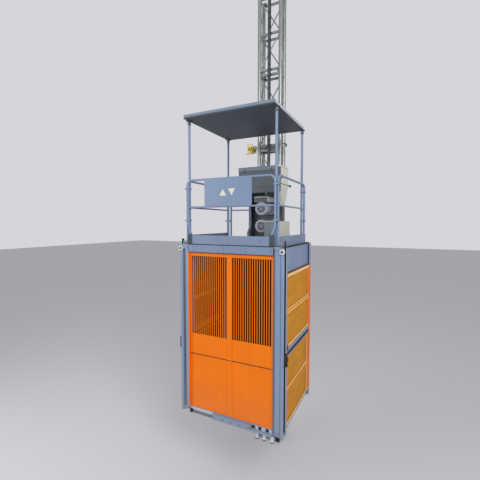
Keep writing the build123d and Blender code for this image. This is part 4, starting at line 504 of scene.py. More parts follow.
def column_trim(side, outward):
    """Lining of the rope slot, a U drawn up the column, pale strips along its mouth as painted highlight,
    dark linings of the leaves' guides as painted shade, an orange cover on the rear column, and bolts."""
    skin, clear = 1.5, 0.2
    mouth, floor = OUTER_FACE - 0.5, OUTER_FACE - SLOT_DEPTH + clear
    start, end = SLOT_FROM + clear, SLOT_TO - clear
    outline = [(mouth, start), (floor, start), (floor, end), (mouth, end), (mouth, end - skin),
               (floor + skin, end - skin), (floor + skin, start + skin), (mouth, start + skin)]
    foot, head = COLUMN_FOOT + 60, COLUMN_HEAD - 3
    lining = plates(np.array(outline) * (outward, 1), [(0, 0, foot)], RIGHT, BACK, head - foot)
    make("slot_lining_" + side, [lining], "black_rubber")
    # pale strips each side of the slot's mouth: painted highlight on the column's lit edges
    proud = OUTER_FACE + 1.2
    lows = spread(outward * mouth, [SLOT_FROM - 12, SLOT_TO + 1], TRIM_FOOT)
    highs = spread(outward * proud, [SLOT_FROM - 1, SLOT_TO + 16], TRIM_HEAD)
    make("slot_edge_highlights_" + side, [blocks(lows, highs)], "pale_blue_and_highlight")
    outside = (outward, 0, 0)
    across_face = outward * (WALL_HALF + np.array((44, 90)))
    face = spread(across_face, FRONT_FACE, [COLUMN_FOOT + 75, COLUMN_HEAD - 42])
    edge_face = FRONT_FACE + (COLUMN_STEP if outward > 0 else -LAP_RISE)
    edge = spread(outward * (WALL_HALF + 9), edge_face, np.linspace(1550, 4050, 6))
    outer = spread(outward * OUTER_FACE, COLUMN_BACK - 30, np.linspace(1500, 4100, 7))
    heads = bolt_heads(face, FRONT, 10) + bolt_heads(edge, FRONT, 6)
    make("column_bolts_" + side, heads + bolt_heads(outer, outside, 6), "roller_steel")
    # black linings inside the leaves' guide grooves: painted shade in the grooves
    guide = np.array((COLUMN_BACK - 39.5, rear_low[1] + 36))
    lows = spread(outward * (OUTER_FACE - 26.5), guide, COLUMN_FOOT + 65)
    highs = spread(outward * (OUTER_FACE - 3.5), guide + 3.5, COLUMN_HEAD - 7)
    make("guide_groove_shade_" + side, [blocks(lows, highs)], "black_rubber")
    leaf_foot, leaf_head = corners("lower_leaf_" + side)[0][2], corners("upper_leaf_" + side)[1][2]
    cover = blocks((outward * mouth, rear_low[1] + 2, leaf_foot + 2),
                   (outward * (OUTER_FACE + 2), REAR_FACE - 2, leaf_head - 2))
    make("rear_column_cover_" + side, [cover], "orange_paint")
    rear = spread(outward * OUTER_FACE, REAR_FACE - 53, np.linspace(1450, 4120, 7))
    back = spread(outward * (WALL_HALF + np.array((44, 124))), REAR_FACE, np.linspace(1450, 4120, 5))
    heads = bolt_heads(rear, outside, 8) + bolt_heads(back, BACK, 8)
    make("rear_column_bolts_" + side, heads, "roller_steel")


def column_edges():
    """Orange lap of the wall over the left column's step, a dark line on that column as painted shade of its
    groove, and a dark strip beside the wall's right edge as painted shade of the recess there."""
    proud, step = FRONT_FACE - LAP_RISE, FRONT_FACE + COLUMN_STEP
    lap = blocks([(-WALL_HALF - 17.5, proud, WALL_FOOT), (-WALL_HALF + 0.5, step - 2, WALL_FOOT)],
                 [(-WALL_HALF + 2, step - 2, WALL_HEAD), (-WALL_HALF + 3, WALL_FACE - 0.5, WALL_HEAD)])
    make("wall_lap", [lap], "orange_paint")
    skin, head = FRONT_FACE + 0.3, COLUMN_HEAD - 12
    # dark line: painted shade of the groove on the left column
    line = blocks((-WALL_HALF - 110, proud, COLUMN_FOOT + 95), (-WALL_HALF - 68, skin, COLUMN_HEAD - 62))
    make("left_column_groove_shade", [line], "plate_paint")
    # dark strip: painted shade of the recess between the wall and the right column
    reveal = blocks([(WALL_HALF + 17.5, proud, TRIM_FOOT), (WALL_HALF + 1.5, step - 1.5, TRIM_FOOT)],
                    [(WALL_HALF + 33, skin, head), (WALL_HALF + 17, step + 0.2, head)])
    make("right_column_recess_shade", [reveal], "grip_steel")


def rope_hardware(side, outward):
    """Black rope guard above the slot, an anchor plate with upright studs and nuts, and a dark cap on the
    pulley's axle."""
    guard = blocks((outward * (OUTER_FACE - 10), SLOT_FROM + 26, COLUMN_HEAD - 1),
                   (outward * (OUTER_FACE - 2), SLOT_TO, COLUMN_HEAD + 103), 3)
    make("rope_guard_" + side, [guard], "black_rubber")
    plate_top = DECK_LEVEL + 8
    plate = blocks((outward * (OUTER_FACE - 87), FRONT_FACE + 9, DECK_LEVEL),
                   (outward * (OUTER_FACE - 29), FRONT_FACE + 95, plate_top))
    stud = [(6, 0), (6, 60), (4.5, 62), (1, 62)]
    nut = [(11, 14), (11, 25), (9.5, 26), (6.2, 26)]
    stud_x = outward * (OUTER_FACE - np.array((74, 48)))
    places = spread(stud_x, [FRONT_FACE + 27, FRONT_FACE + 67], plate_top)
    shapes = [plate, turned(stud, places, UP, 10), turned(nut, places, UP, 6)]
    make("rope_anchor_" + side, shapes, "roller_steel")
    middle = sum(corners("door_pulley_" + side)) / 2
    cap = [(17.3, -3.5), (17.3, 1), (13, 3), (2, 3.4)]
    place = [(middle[0], column_low[1], middle[2])]
    make("pulley_cap_" + side, [turned(cap, place, FRONT, 20)], "black_plastic")


def front_fasteners():
    """Bolts in rows along the fascia and the toe board, rivets on the front wall's strips, dark strips along
    the deck's front edge and under the fascia as painted shadow, and a dark strip in the wall's level joint."""
    fascia_x = [-656, -93, 304, 714]
    fascia = spread(fascia_x, FRONT_FACE, [FASCIA_FOOT + 39, FASCIA_FOOT + 87])
    toe_x = -626 + 385 * np.arange(4)
    toe = spread(toe_x, FRONT_FACE + 9, DECK_LEVEL + 86)
    heads = bolt_heads(fascia, FRONT, 9) + bolt_heads(toe, FRONT, 9)
    make("front_edge_bolts", heads, "roller_steel")
    # dark strips at the deck's front edge and under the fascia: painted shadow
    shadow_strips = blocks([(-WALL_HALF, FRONT_FACE - 1.5, DECK_LEVEL - 5),
                     (-WALL_HALF, FRONT_FACE + 6, FASCIA_FOOT - 10)],
                    [(WALL_HALF, FRONT_FACE + 3.5, DECK_LEVEL + 7),
                     (WALL_HALF, WALL_FACE + 0.5, FASCIA_FOOT - 0.5)])
    make("fascia_shadow_strips", [shadow_strips], "black_rubber")
    rivet_x = [15 - WALL_HALF, -27, 27, WALL_HALF - 15]
    rivets = spread(rivet_x, WALL_FACE, np.linspace(1560, 4030, 14))
    make("front_wall_rivets", [domes(rivets, FRONT, 6)], "orange_paint")
    joint = wall_low[2] - 6
    seal_end, half = WALL_HALF - 1, 4.5
    seal = blocks((-seal_end, WALL_FACE + 3, joint - half), (seal_end, WALL_FACE + 10, joint + half))
    make("wall_joint_seal", [seal], "black_rubber")


def sill_trim():
    """End block, dark kick strip as painted shade of the recessed sill under a pale lip as painted highlight,
    pocket linings as painted shade with plates beside them, bolts, and rings on the buffers."""
    low, high = corners("front_sill")
    top = high[2]
    face = FRONT_FACE + 22
    left, lip_end = low[0], -302
    block = blocks((left + 2, face - 30, top - 100), (left + 50, face, top - 34), 5)
    make("sill_end_block", [block], "black_rubber")
    # dark kick strip: painted shade of the sill's recessed part
    kick = blocks((left + 53, face - 3, low[2] - 2), (lip_end, face + 1, top - 54))
    make("sill_kick_shade_strip", [kick], "grip_steel")
    # pale lip: painted highlight on the sill's lit edge
    lip = blocks((left + 4, face - 7, top - 52), (lip_end, face + 1, top - 2))
    make("sill_lip_highlight", [lip], "pale_blue_and_highlight")
    strip_top, beam_top = low[2] + 34, top - 8
    pockets = spread([430, 545, 669], face + 6.2, (strip_top + beam_top) / 2)
    half, depth = 28, 30
    # black linings: painted shade inside the pockets
    lining = blocks(pockets - (half, 0, half), pockets + (half, depth, half))
    make("pocket_shade_linings", [lining], "black_rubber")
    lows = spread([475, 572, 698], face - 2, strip_top + 1)
    reach = [(40, 2.5, 62), (58, 2.5, 62), (42, 2.5, 62)]
    make("pocket_plates", [blocks(lows, lows + reach)], "pale_blue_and_highlight")
    bar = spread(np.linspace(-270, 360, 5), low[1], top - 62)
    strip = spread(np.linspace(-640, -360, 3), face - 2, top - 85)
    make("sill_bolts", bolt_heads(np.concatenate((bar, strip)), FRONT, 10), "roller_steel")
    foot = corners("sill_buffers")[0][2]
    places = spread([478, 604, 732], face + 45, foot)
    ring = [(18, 14), (28.2, 14), (29, 18), (29, 26), (28.2, 30), (18, 30)]
    make("buffer_rings", [turned(ring, places, UP, 24)], "black_rubber")


def lock_screws(side, outward):
    """Dome screws at the corners of a door's lock case."""
    low, high = corners("door_locks")
    face = outward * (high[0] - 8.5)
    screws = spread(face, [low[1] + 8, high[1] - 8], [low[2] + 8, high[2] - 7])
    make("lock_screws_" + side, [domes(screws, (outward, 0, 0), 4)], "bright_steel")


def leaf_furniture(level, side, outward):
    """On a leaf: pale strips along its rails as painted highlight, a stile cover, a meeting strip with its
    seal, hems round the wire, screws and a striker."""
    body = "%s_leaf_%s" % (level, side)
    name = level + "_%s_" + side
    low, high = corners(body)
    mesh_low, mesh_high = corners("%s_mesh_%s" % (level, side))
    face = outward * max(abs(low[0]), abs(high[0]))
    front, rear = low[1] + LEAF_TONGUE, high[1] - LEAF_TONGUE
    start, end, window_end = front + 2, rear - 2, mesh_high[1]
    foot, head = low[2], high[2]
    middle = (mesh_low[2] + mesh_high[2]) / 2
    if level == "upper":
        cream = [(start, end, mesh_high[2] + 3, head - 2)]
        amber = [(start, end, middle + 12, middle + HALF_RAIL),
                 (start, end, middle - HALF_RAIL, middle - 12),
                 (start, end, foot + 88, foot + 119)]
        stile = [(window_end + 4, end, mesh_low[2], mesh_high[2])]
        meeting = [(start, end, foot + 13, foot + 74)]
        seal = [(start, end, foot - 25.5, foot + 12)]
        rows = [head - 22, middle + 23, foot + 103]
        striker_foot = foot + 36
    else:
        cream = [(start, end, foot + 2, foot + 26),
                 (window_end + 4, window_end + 26, foot + 28, mesh_high[2])]
        amber = [(start, window_end, middle + 4, middle + HALF_RAIL)]
        stile = [(window_end + 28, end, foot + 28, mesh_high[2])]
        meeting = [(start, end, head - 31, head - 12)]
        seal = [(start, end, head - 11, head - 0.5)]
        rows = [head - 21, middle + 23, foot + 33]
        striker_foot = head - 122
    # the cream and amber strips are painted highlight on the lit edges of the rails
    strips = (("leaf_edge_highlight", cream, 2.5, "highlight_cream"),
              ("leaf_rail_highlights", amber, 2.5, "highlight_amber"),
              ("stile_cover", stile, 2, "orange_paint"),
              ("meeting_strip", meeting, 2.5, "blue_paint"),
              ("meeting_seal", seal, 2.5, "black_rubber"))
    # each strip has two Y and two Z
    for kind, edges, thickness, finish in strips:
        lows = [(face - outward, y, z) for y, _, z, _ in edges]
        highs = [(face + outward * thickness, y, z) for _, y, _, z in edges]
        make(name % kind, [blocks(lows, highs, 0.8)], finish, body)
    hem = 3
    levels = [mesh_low[2], middle - HALF_RAIL, middle + HALF_RAIL, mesh_high[2]]
    uprights = [mesh_low[1], window_end]
    hems = [wires(spread(face, uprights[:1], levels), spread(face, uprights[1:], levels), hem, 8),
            wires(spread(face, uprights, levels[:1]), spread(face, uprights, levels[-1:]), hem, 8)]
    make(name % "leaf_hems", hems, "leaf_ochre", body)
    screws = spread(face + outward * 2, np.linspace(front + 90, rear - 90, 8), rows)
    make(name % "leaf_screws", [domes(screws, (outward, 0, 0), 6)], "roller_steel", body)
    striker = blocks((face - outward, front + 2, striker_foot),
                     (face + outward * 12, front + 26, striker_foot + 86), 4)
    make(name % "striker", [striker], "black_plastic", body)


def header_trim(side, outward):
    """Black strips on a door header above the leaf and along the deck's edge as painted shadow, and bolts
    near its top.
    """
    low, high = corners("door_headers")
    face = outward * high[0]
    seal = corners("upper_leaf_" + side)[1][2] + 10
    # black strips above the leaf and at the deck's edge: painted shadow
    lip = wires([(face, low[1] + 4, seal)], [(face, high[1] - 4, seal)], 8, 8)
    deck_edge_shadow = blocks((outward * (DECK_SIDE + 0.5), COLUMN_BACK + 3, DECK_LEVEL - 25),
                       (outward * (DECK_SIDE + 6.5), REAR_FACE - 3, DECK_LEVEL + 2))
    make("header_shadow_strips_" + side, [lip, deck_edge_shadow], "black_rubber")
    bolts = spread(face, np.linspace(low[1] + 70, high[1] - 70, 6), high[2] - 45)
    make("header_bolts_" + side, bolt_heads(bolts, (outward, 0, 0), 8), "roller_steel")


def roof_fittings():
    """Foot plates under the guards and posts, clamps that tie posts to guards, dark pads on the toe board's
    corners as painted shade, and bolts along the deck's edges."""
    thick = 8
    foot_top = DECK_LEVEL + thick
    feet, bolts, clamps, clamp_heads, pads = [], [], [], [], []
    for _, outward in SIDES:
        foot_x = POST_X + 15
        for y in (POST_FRONT - 8, POST_REAR + 20):
            place = (outward * foot_x, y, DECK_LEVEL)
            feet.append(plates(rounded(84, 104, 8), place, RIGHT, BACK, thick))
            bolt_x = outward * (foot_x + np.array((-33, 33)))
            bolts.append(spread(bolt_x, [y - 42, y + 42], foot_top))
        place = (outward * (POST_X - 63), POST_FRONT - 39, DECK_LEVEL)
        feet.append(plates(rounded(70, 36, 8), place, RIGHT, BACK, thick))
        clamp_side, half = outward * (POST_X + 59), 14
        for z in (DECK_LEVEL + 401, DECK_LEVEL + 931):
            lows = [(outward * (POST_X - 27), POST_FRONT - 63, z - half),
                    (outward * (POST_X - 25), POST_REAR - 25, z - half)]
            highs = spread(clamp_side, [POST_FRONT + 22, POST_REAR + 62], z + half)
            clamps.append(blocks(lows, highs, 6))
            clamp_y = [POST_FRONT - 49, POST_FRONT + 8, POST_REAR - 11, POST_REAR + 49]
            clamp_heads += bolt_heads(spread(clamp_side, clamp_y, z), (outward, 0, 0), 9)
        # dark pads at the toe board's corners: painted shade of the gaps behind them
        pads.append(blocks((outward * (WALL_HALF - 64), FRONT_FACE + 2.5, DECK_LEVEL + 8),
                           (outward * (WALL_HALF + 9), FRONT_FACE + 9.5, DECK_LEVEL + 175), 2))
    guard_low, guard_high = corners("guard_rear")
    posts = [guard_low[0] + 17, guard_low[0] + 401]
    rear = (guard_low[1] + guard_high[1]) / 2
    feet.append(plates(rounded(80, 80, 8), spread(posts, rear, DECK_LEVEL), RIGHT, BACK, thick))
    bolts.append(spread(posts, [rear - 29, rear + 29], foot_top))
    make("roof_foot_plates", feet, "dark_steel")
    edge_x = DECK_SIDE - 18
    edge = spread([-edge_x, edge_x], np.linspace(-1800, -420, 8), DECK_LEVEL)
    heads = bolt_heads(np.concatenate(bolts), UP, 9) + bolt_heads(edge, UP, 8)
    make("roof_bolts", heads, "roller_steel")
    make("post_clamps", clamps, "blue_paint")
    make("clamp_bolts", clamp_heads, "roller_steel")
    make("toe_corner_pads", pads, "corner_pad_shade")


def canopy_trim():
    """Drip lip round the canopy, pale strips on its sides as painted highlight, sockets over the post heads,
    two standing seams on its top."""
    low, high = corners("canopy")
    z = low[2] + 3
    ring = [(low[0], low[1], z), (high[0], low[1], z), (high[0], high[1], z), (low[0], high[1], z)]
    lip = [wires([ring[index]], [ring[(index + 1) % 4]], 4, 8) for index in range(4)]
    make("canopy_lip", lip, "canopy_paint")
    for side, outward in SIDES:
        # pale strips: painted highlight on the canopy's lit side rims
        strip = blocks((outward * (high[0] - 0.5), low[1] + 5, low[2] + 14),
                       (outward * (high[0] + 2), high[1] - 5, high[2] - 2))
        make("canopy_side_highlight_" + side, [strip], "pale_blue_and_highlight")
    seam_x = [-265, 265]
    starts, ends = [spread(seam_x, y, high[2]) for y in (low[1] + 10, high[1] - 10)]
    make("canopy_seams", [wires(starts, ends, 6, 8)], "canopy_paint")
    posts = spread([-POST_X, POST_X], [POST_FRONT, POST_REAR], low[2])
    socket = [(21, -70), (26, -70), (27, -68), (27, -7), (20.5, -7)]
    thick, pitch = 7, 31
    flange = plates(rounded(88, 88, 10), posts - (0, 0, thick), RIGHT, BACK, thick)
    offsets = spread([-pitch, pitch], [-pitch, pitch], -thick)
    places = (posts[:, None, :] + offsets[None]).reshape(-1, 3)
    inside = np.abs(places[:, 0]) < high[0] - 6
    heads = bolt_heads(places[inside], DOWN, 7)
    make("post_sockets", [turned(socket, posts, UP, 20), flange] + heads, "dark_steel")


def sign_trim():
    """Dome rivets round the sign's edge and two plain triangles, one up and one down, raised on its face."""
    low, high = corners("sign_panel")
    face = low[1]
    inset = 18
    row = np.linspace(low[0] + inset, high[0] - inset, 9)
    column = np.linspace(low[2] + inset, high[2] - inset, 5)
    level_edges = spread(row, face, column[[0, -1]])
    upright_edges = spread(row[[0, -1]], face, column[1:-1])
    rivets = np.concatenate((level_edges, upright_edges))
    make("sign_rivets", [domes(rivets, FRONT, 7)], "sign_paint")
    middle = (low + high) / 2
    triangle = np.array([(-62, -54), (62, -54), (0, 54)])
    shapes = [plates(-turn * triangle, [(middle[0] + turn * 78, face, middle[2])], RIGHT, UP, 1.5)
              for turn in (-1, 1)]
    make("sign_triangles", shapes, "beige_paint")


def grip_sleeve():
    """Ribbed rubber sleeve on the end of the grip bar: twelve ribs 5 mm apart, each 3 mm wide."""
    low, high = corners("grip_bar")
    middle = (low + high) / 2
    ribs = 12
    height = np.repeat(np.arange(ribs) * 5.0, 2) + np.tile((0.0, 3.0), ribs)
    profile = np.stack((np.tile((17.5, 16.2), ribs), height), -1)
    place = [(middle[0], high[1] - 59, middle[2])]
    make("grip_sleeve", [turned(profile, place, BACK, 20)], "black_rubber")


# Machinery on the roof
drive_middles = np.array([sum(corners(node)) / 2 for node in ("pinion_lower", "pinion_upper")])
COWL_FRONT = corners("fan_cowls")[0][1]


def fans():
    """Black fan behind each cowl's grille: a dished back plate, a hub and seven pitched blades."""
    back = [(8, 44), (108, 44), (108, 48), (8, 52)]
    hub = [(6, 0), (24, 2), (30, 10), (30, 44), (8, 46)]
    shapes = []
    for x, _, z in drive_middles:
        place = [(x, COWL_FRONT + 40, z)]
        blade_middle = np.array((x, COWL_FRONT + 62, z))
        blades = fan_blades(blade_middle, count=7, inner=29, outer=104, chord=40, pitch=35, thickness=3)
        shapes += [turned(back, place, BACK, 32), turned(hub, place, BACK, 24), blades]
    make("cooling_fans", shapes, "black_plastic")


def terminal_box_trim():
    """Pale lids and right covers as painted light, lid screws, a dark front plate as painted shade and cable
    glands on the terminal boxes.
    """
    low, high = corners("motors")
    top = high[2]
    right, rear, foot, lap = 225, -416, 4995, 4
    # pale lids and right-side covers: painted light on the tops and right faces
    lid = blocks((low[0] - lap, low[1] - lap, top - 12), (right + lap, rear, top + 5), 3)
    lit_right_cover = blocks((right - 1, low[1] + 6, foot + 1), (right + 3, rear - 10, top - 13))
    side_front, side_rear, side_foot, side_top = -652, -504, 4429, 4647
    side_lid = blocks((high[0] - 8, side_front, side_foot), (high[0] + 5, side_rear, side_top), 3)
    make("terminal_lids_painted_light", [lid, lit_right_cover, side_lid], "lid_enamel")
    top_screws = spread([low[0] + 12, right - 12], [low[1] + 12, rear - 16], top + 5)
    side_screws = spread(high[0] + 5, [side_front + 12, side_rear - 12], [side_foot + 14, side_top - 14])
    screws = [domes(top_screws, UP, 5), domes(side_screws, RIGHT, 5)]
    make("terminal_screws", screws, "bright_steel")
    # dark front plate: painted shade on the boxes' fronts
    cover = blocks((low[0] + 5, low[1] - 3, foot), (right - 5, low[1] + 1, top - 13))
    make("terminal_front_shade_plate", [cover], "hood_grey")
    gland = [(13, 0), (16, 0), (16, 8), (12, 9), (12, 18), (9, 24), (4, 25)]
    lefts = spread(low[0], low[1] + np.array((55, 115, 175)), foot + 35)
    side_place = (right - 5, side_front + 4, side_foot + 71)
    glands = [turned(gland, lefts, LEFT, 12), turned(gland, side_place, FRONT, 12)]
    make("cable_glands", glands, "black_plastic")


def gear_fasteners():
    """Bolts at the gear cases' corners and in a ring on the safety drum's front, with its centre cap."""
    corner = spread([-86, 86], 0, [-88, 88])
    front = corners("gearboxes")[0] * (0, 1, 0)
    places = (drive_middles[:, None] * (1, 0, 1) + front + corner[None]).reshape(-1, 3)
    make("gear_case_bolts", bolt_heads(places, FRONT, 12), "roller_steel")
    x, _, z = sum(corners("pinion_safety")) / 2
    middle = (x, corners("safety_device")[0][1], z)
    ring = arc(middle, 62, RIGHT, UP, 0, 315, 8)
    cap = [(34, 0), (34, 10), (28, 14), (5, 15)]
    heads = bolt_heads(ring, FRONT, 10)
    make("safety_drum_bolts", heads + [turned(cap, [middle], FRONT, 24)], "roller_steel")


def hood_trim():
    """Lid with a skirt, a bead along the hood's lower seam, louvres on its left, latches and lifting eyes."""
    low, high = corners("machine_hood")
    skirt, lap = 66, 5
    lid_low = (low[0] - lap, low[1] - lap, high[2] - skirt)
    lid_high = (high[0], high[1] + lap, high[2] + lap)
    make("hood_lid", [blocks(lid_low, lid_high, 4)], "hood_lid")
    seam = low[2] + 98
    corner = [(low[0], low[1], seam)]
    beads = [wires(corner, [(high[0], low[1], seam)], 4, 8),
             wires(corner, [(low[0], high[1], seam)], 4, 8)]
    make("hood_seam", beads, "hood_grey")
    blade = [(0, 0), (-15, -13), (-15, -10), (0, 6)]
    louvre_places = spread(low[0], low[1] + 90, seam + 60 + 32 * np.arange(7))
    make("hood_louvres", [plates(blade, louvre_places, RIGHT, UP, -220)], "hood_grey")
    latch_x = (low[0] + 120, high[0] - 120)
    at = spread(latch_x, low[1] - lap, high[2] - skirt + 4)
    half = np.array((13, 6, 30))
    knob = [(9, 0), (9, 8), (7, 11), (2, 12)]
    latches = [blocks(at - half, at + half, 3), turned(knob, at - half * (0, 1, 0.4), FRONT, 14)]
    make("hood_latches", latches, "hood_grey")
    eye_y, eye_level = low[1] + 195, high[2] + lap + 20
    rings = [arc((x, eye_y, eye_level), 18, RIGHT, UP, 0, 345, 24) for x in latch_x]
    make("hood_lifting_eyes", [carried(ring, 5, 8, True) for ring in rings], "roller_steel")


def cabinet_trim():
    """Upright pressed beads on the cabinet's right side, a dark plate on its front as painted shade, a cap
    over its top and a turn handle."""
    low, high = corners("control_cabinet")
    along = np.linspace(low[1] + 60, high[1] - 30, 6)
    feet, heads = [spread(high[0], along, high[2] - drop) for drop in (345, 40)]
    make("cabinet_beads", [wires(feet, heads, 4, 8)], "beige_paint")
    lap = 4
    cap_low = (low[0], low[1] - lap, high[2] - 22)
    cap_high = (high[0] + lap, high[1] + lap, high[2] + 5)
    make("cabinet_cap", [blocks(cap_low, cap_high, 3)], "beige_paint")
    # dark front plate: painted shade on the cabinet's front
    cover = blocks((low[0], low[1] - 3, high[2] - 464), (high[0] - lap, low[1] + 1, high[2] - 24))
    make("cabinet_front_shade_plate", [cover], "hood_grey")
    handle = (high[0], low[1] + 26, high[2] - 220)
    plate = plates(rounded(16, 60, 7), handle, BACK, UP, 5)
    knob = [(7, 4), (7, 14), (5, 17), (1, 17.5)]
    make("cabinet_handle", [plate, turned(knob, handle, RIGHT, 14)], "black_plastic")


def junction_trim():
    """Pressed frame and turn latches on the junction door, a rain lid on the box and glands on its back."""
    low, high = corners("junction_door")
    face = low[1]
    inset = 16
    x = np.array((low[0] + inset, high[0] - inset))
    z = np.array((low[2] + inset, high[2] - inset))
    frame_bars = [wires(spread(x[:1], face, z), spread(x[1:], face, z), 3, 8),
                  wires(spread(x, face, z[:1]), spread(x, face, z[1:]), 3, 8)]
    make("junction_door_frame", frame_bars, "door_grey", "junction_door")
    latch = [(13, 0), (13, 4), (9, 6), (9, 10), (2, 11)]
    places = spread(x[1:] - 12, face, z + (60, -60))
    make("junction_latches", [turned(latch, places, FRONT, 16)], "black_plastic", "junction_door")
    low, high = corners("junction_box")
    lid_low = (low[0] - 3, low[1] + 16, high[2] - 12)
    make("junction_lid", [blocks(lid_low, high + 3, 2)], "beige_paint")
    gland = [(15, 0), (18, 0), (18, 9), (13, 10), (13, 20), (9, 26), (4, 27)]
    places = spread(low[0] + np.array((60, 115, 170)), high[1], low[2] + 46)
    make("junction_glands", [turned(gland, places, BACK, 12)], "black_plastic")


# Back of the car
def back_trim():
    """Pressed upright beads on the rear wall, bolts where the plates meet the uprights, caps on their tops,
    and nuts on the guide rollers' axles."""
    low, high = corners("rear_wall")
    along = np.concatenate((np.linspace(-690, -430, 4), np.linspace(430, 690, 4)))
    feet, heads = [spread(along, high[1], z) for z in (low[2] + 130, high[2] - 130)]
    make("rear_wall_beads", [wires(feet, heads, 9, 8)], "orange_paint")
    uprights, plate_rear = np.array((-330, 330)), -235
    levels = np.concatenate((np.linspace(4340, 5360, 7), (1440, 1700)))
    bolts = spread(uprights, plate_rear, levels)
    make("plate_bolts", bolt_heads(bolts, BACK, 14), "roller_steel")
    low, high = corners("mast_side_frame")
    lows = spread(uprights - 32, low[1] - 2, high[2] - 2)
    highs = spread(uprights + 32, low[1] + 82, high[2] + 4)
    make("upright_caps", [blocks(lows, highs, 2)], "black_plastic")
    nut = [(14, 0), (14, 10), (11, 12), (2, 12)]
    roller_x, roller_levels = [-298, 298], [1570, 5449]
    places = spread(roller_x, high[1], roller_levels)
    make("roller_nuts", [turned(nut, places, BACK, 6)], "roller_steel")


# Mast, tie and base
TUBE_X, TUBE_Y = 225, 110
tie_low, tie_high = corners("tie_couplers")
_, TIE_ARM_Y, TIE_LEVEL = (tie_low + tie_high) / 2


def mast_trim():
    """Cap screws up the racks' fronts and discs that close the tubes at the mast's head."""
    low, high = corners("racks")
    sections = 6
    share = np.arange(sections)[:, None] + np.array((0.045, 0.25, 0.5, 0.75, 0.955))
    levels = low[2] + share.ravel() * ((high[2] - low[2]) / sections)
    screw = [(9, 0), (9, 6), (7.5, 8), (2, 8)]
    screw_x = -14
    places = spread(screw_x, low[1], levels)
    make("rack_screws", [turned(screw, places, FRONT, 10)], "roller_steel", "mast")
    plug = [(33.5, -12), (33.5, 0), (30, 3), (4, 4)]
    places = spread([-TUBE_X, TUBE_X], [-TUBE_Y, TUBE_Y], high[2] - 4)
    make("mast_tube_plugs", [turned(plug, places, UP, 24)], "black_plastic", "mast")


def tie_trim():
    """U-bolts round the rear mast tubes with nuts, and on each arm a swivel clamp: ringed shells with upright
    bolts."""
    ubolts, nuts = [], []
    for x in (-TUBE_X, TUBE_X):
        bend = arc((x, TUBE_Y, TIE_LEVEL + 13), 44, RIGHT, BACK, 0, -180, 20)
        start, end = bend[0] + (0, 48, 0), bend[-1] + (0, 48, 0)
        ubolts.append(carried(np.concatenate(([start], bend, [end])), 6, 8))
        nuts.append(np.array((start, end)) - (0, 12, 0))
    nut = [(11, 0), (11, 9), (9, 10), (2, 10)]
    make("tie_u_bolts", ubolts + [turned(nut, np.concatenate(nuts), BACK, 6)], "roller_steel", "mast")
    ring = [(25, -13), (39, -13), (42, -10), (42, 10), (39, 13), (25, 13)]
    shaft = [(9, -112), (11, -110), (11, -92), (7, -90), (7, 84), (12, 85), (12, 98), (10, 100)]
    shells, bolts = [], []
    for x in (tie_low[0] + 36, tie_high[0] - 36):
        left, right = x - 52, x + 58
        shells.append(turned(ring, spread([left, right], TIE_ARM_Y, TIE_LEVEL), RIGHT, 24))
        uprights = spread([left, x + 10, right], TIE_ARM_Y - 46, TIE_LEVEL)
        bolts.append(turned(shaft, uprights, UP, 12))
        bolts.append(blocks(uprights - (13, 13, 26), uprights + (13, 34, 26), 3))
        bolts.append(blocks((x - 96, TIE_ARM_Y - 60, TIE_LEVEL - 122),
                            (x + 86, TIE_ARM_Y - 32, TIE_LEVEL - 106), 3))
    make("tie_swivel_clamps", shells + bolts, "yellow_paint", "mast")


def base_trim():
    """Plastic plugs in the open ends of the base beams."""
    low, high = corners("base_frame")
    lows = spread([low[0], high[0] - 90], [low[1] - 4, high[1] - 6], low[2] + 2)
    make("base_end_plugs", [blocks(lows, lows + (90, 10, 96), 3)], "black_plastic", "mast")


for side, outward in SIDES:
    for level in LEVELS:
        leaf_mesh(level, side, outward)
    column_trim(side, outward)
    lock_screws(side, outward)
    for level in LEVELS:
        leaf_furniture(level, side, outward)
    header_trim(side, outward)
    rope_hardware(side, outward)
column_edges()
front_fasteners()
sill_trim()
roof_fittings()
canopy_trim()
sign_trim()
grip_sleeve()
fans()
terminal_box_trim()
gear_fasteners()
hood_trim()
cabinet_trim()
junction_trim()
back_trim()
mast_trim()
tie_trim()
base_trim()


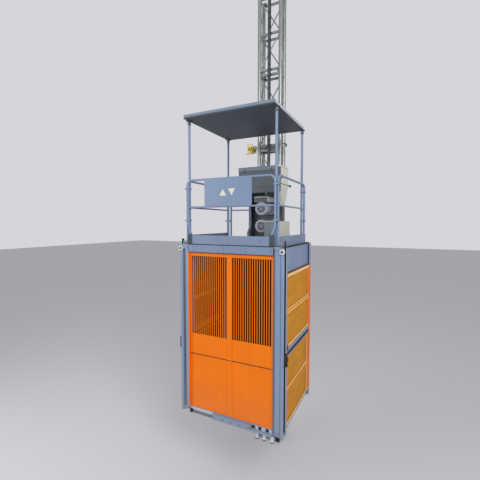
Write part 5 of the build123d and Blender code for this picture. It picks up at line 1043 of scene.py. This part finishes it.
# Camera, light and floor, in metres
def set_stage():
    """Camera at the photograph's place, a broad key lamp, a weak fill, a pale floor and a pale even world."""
    scene = bpy.context.scene
    eye = bpy.data.cameras.new("photo_camera")
    eye.lens = 24.3003
    eye.sensor_width = 36.0
    eye.clip_end = 300.0
    camera = bpy.data.objects.new("photo_camera", eye)
    camera.location = (2.4354, -6.3974, 4.5929)
    camera.rotation_euler = (math.radians(90 - 2.9748), 0, math.radians(26.3085))
    scene.collection.objects.link(camera)
    scene.camera = camera
    target = np.array((0, -1.2, 4.0))
    for name, place, power in (("key", (6.6, -7.8, 8.8), 540), ("fill", (-6.0, -7.0, 5.5), 240)):
        lamp = bpy.data.lights.new(name, "AREA")
        lamp.energy = power
        lamp.size = 5.0
        held = bpy.data.objects.new(name, lamp)
        held.location = place
        aim = target - np.array(place)
        tilt = math.atan2(math.hypot(aim[0], aim[1]), -aim[2])
        held.rotation_euler = (tilt, 0, math.atan2(-aim[0], aim[1]))
        scene.collection.objects.link(held)
    world = bpy.data.worlds.new("pale_room")
    scene.world = world
    world.use_nodes = True
    world.node_tree.nodes.clear()
    add = functools.partial(add_node, world.node_tree)
    path = add("LightPath")
    seen = path.outputs["Is Camera Ray"]
    for ray in ("Is Glossy Ray", "Is Transmission Ray"):
        seen = add("Math", {0: seen, 1: path.outputs[ray]}, operation="MAXIMUM")
    room = add("Background", {"Color": linear("#F4F5F8"), "Strength": 0.5})
    backdrop = add("Background", {"Color": linear("#D6D5DA"), "Strength": 1.0})
    add("OutputWorld", {"Surface": add("MixShader", {0: seen, 1: room, 2: backdrop})})
    half, level = 60, -2 * MM
    mesh = bpy.data.meshes.new("floor")
    mesh.from_pydata([(-half, -half, level), (half, -half, level), (half, half, level), (-half, half, level)],
                     [], [(0, 1, 2, 3)])
    floor = bpy.data.objects.new("floor", mesh)
    scene.collection.objects.link(floor)
    finish, _, shader, _ = new_finish("pale_floor")
    feed(shader, {"Base Color": linear("#E2E1E5"), "Roughness": 0.9})
    mesh.materials.append(finish)
    scene.view_settings.view_transform = "Standard"


set_stage()
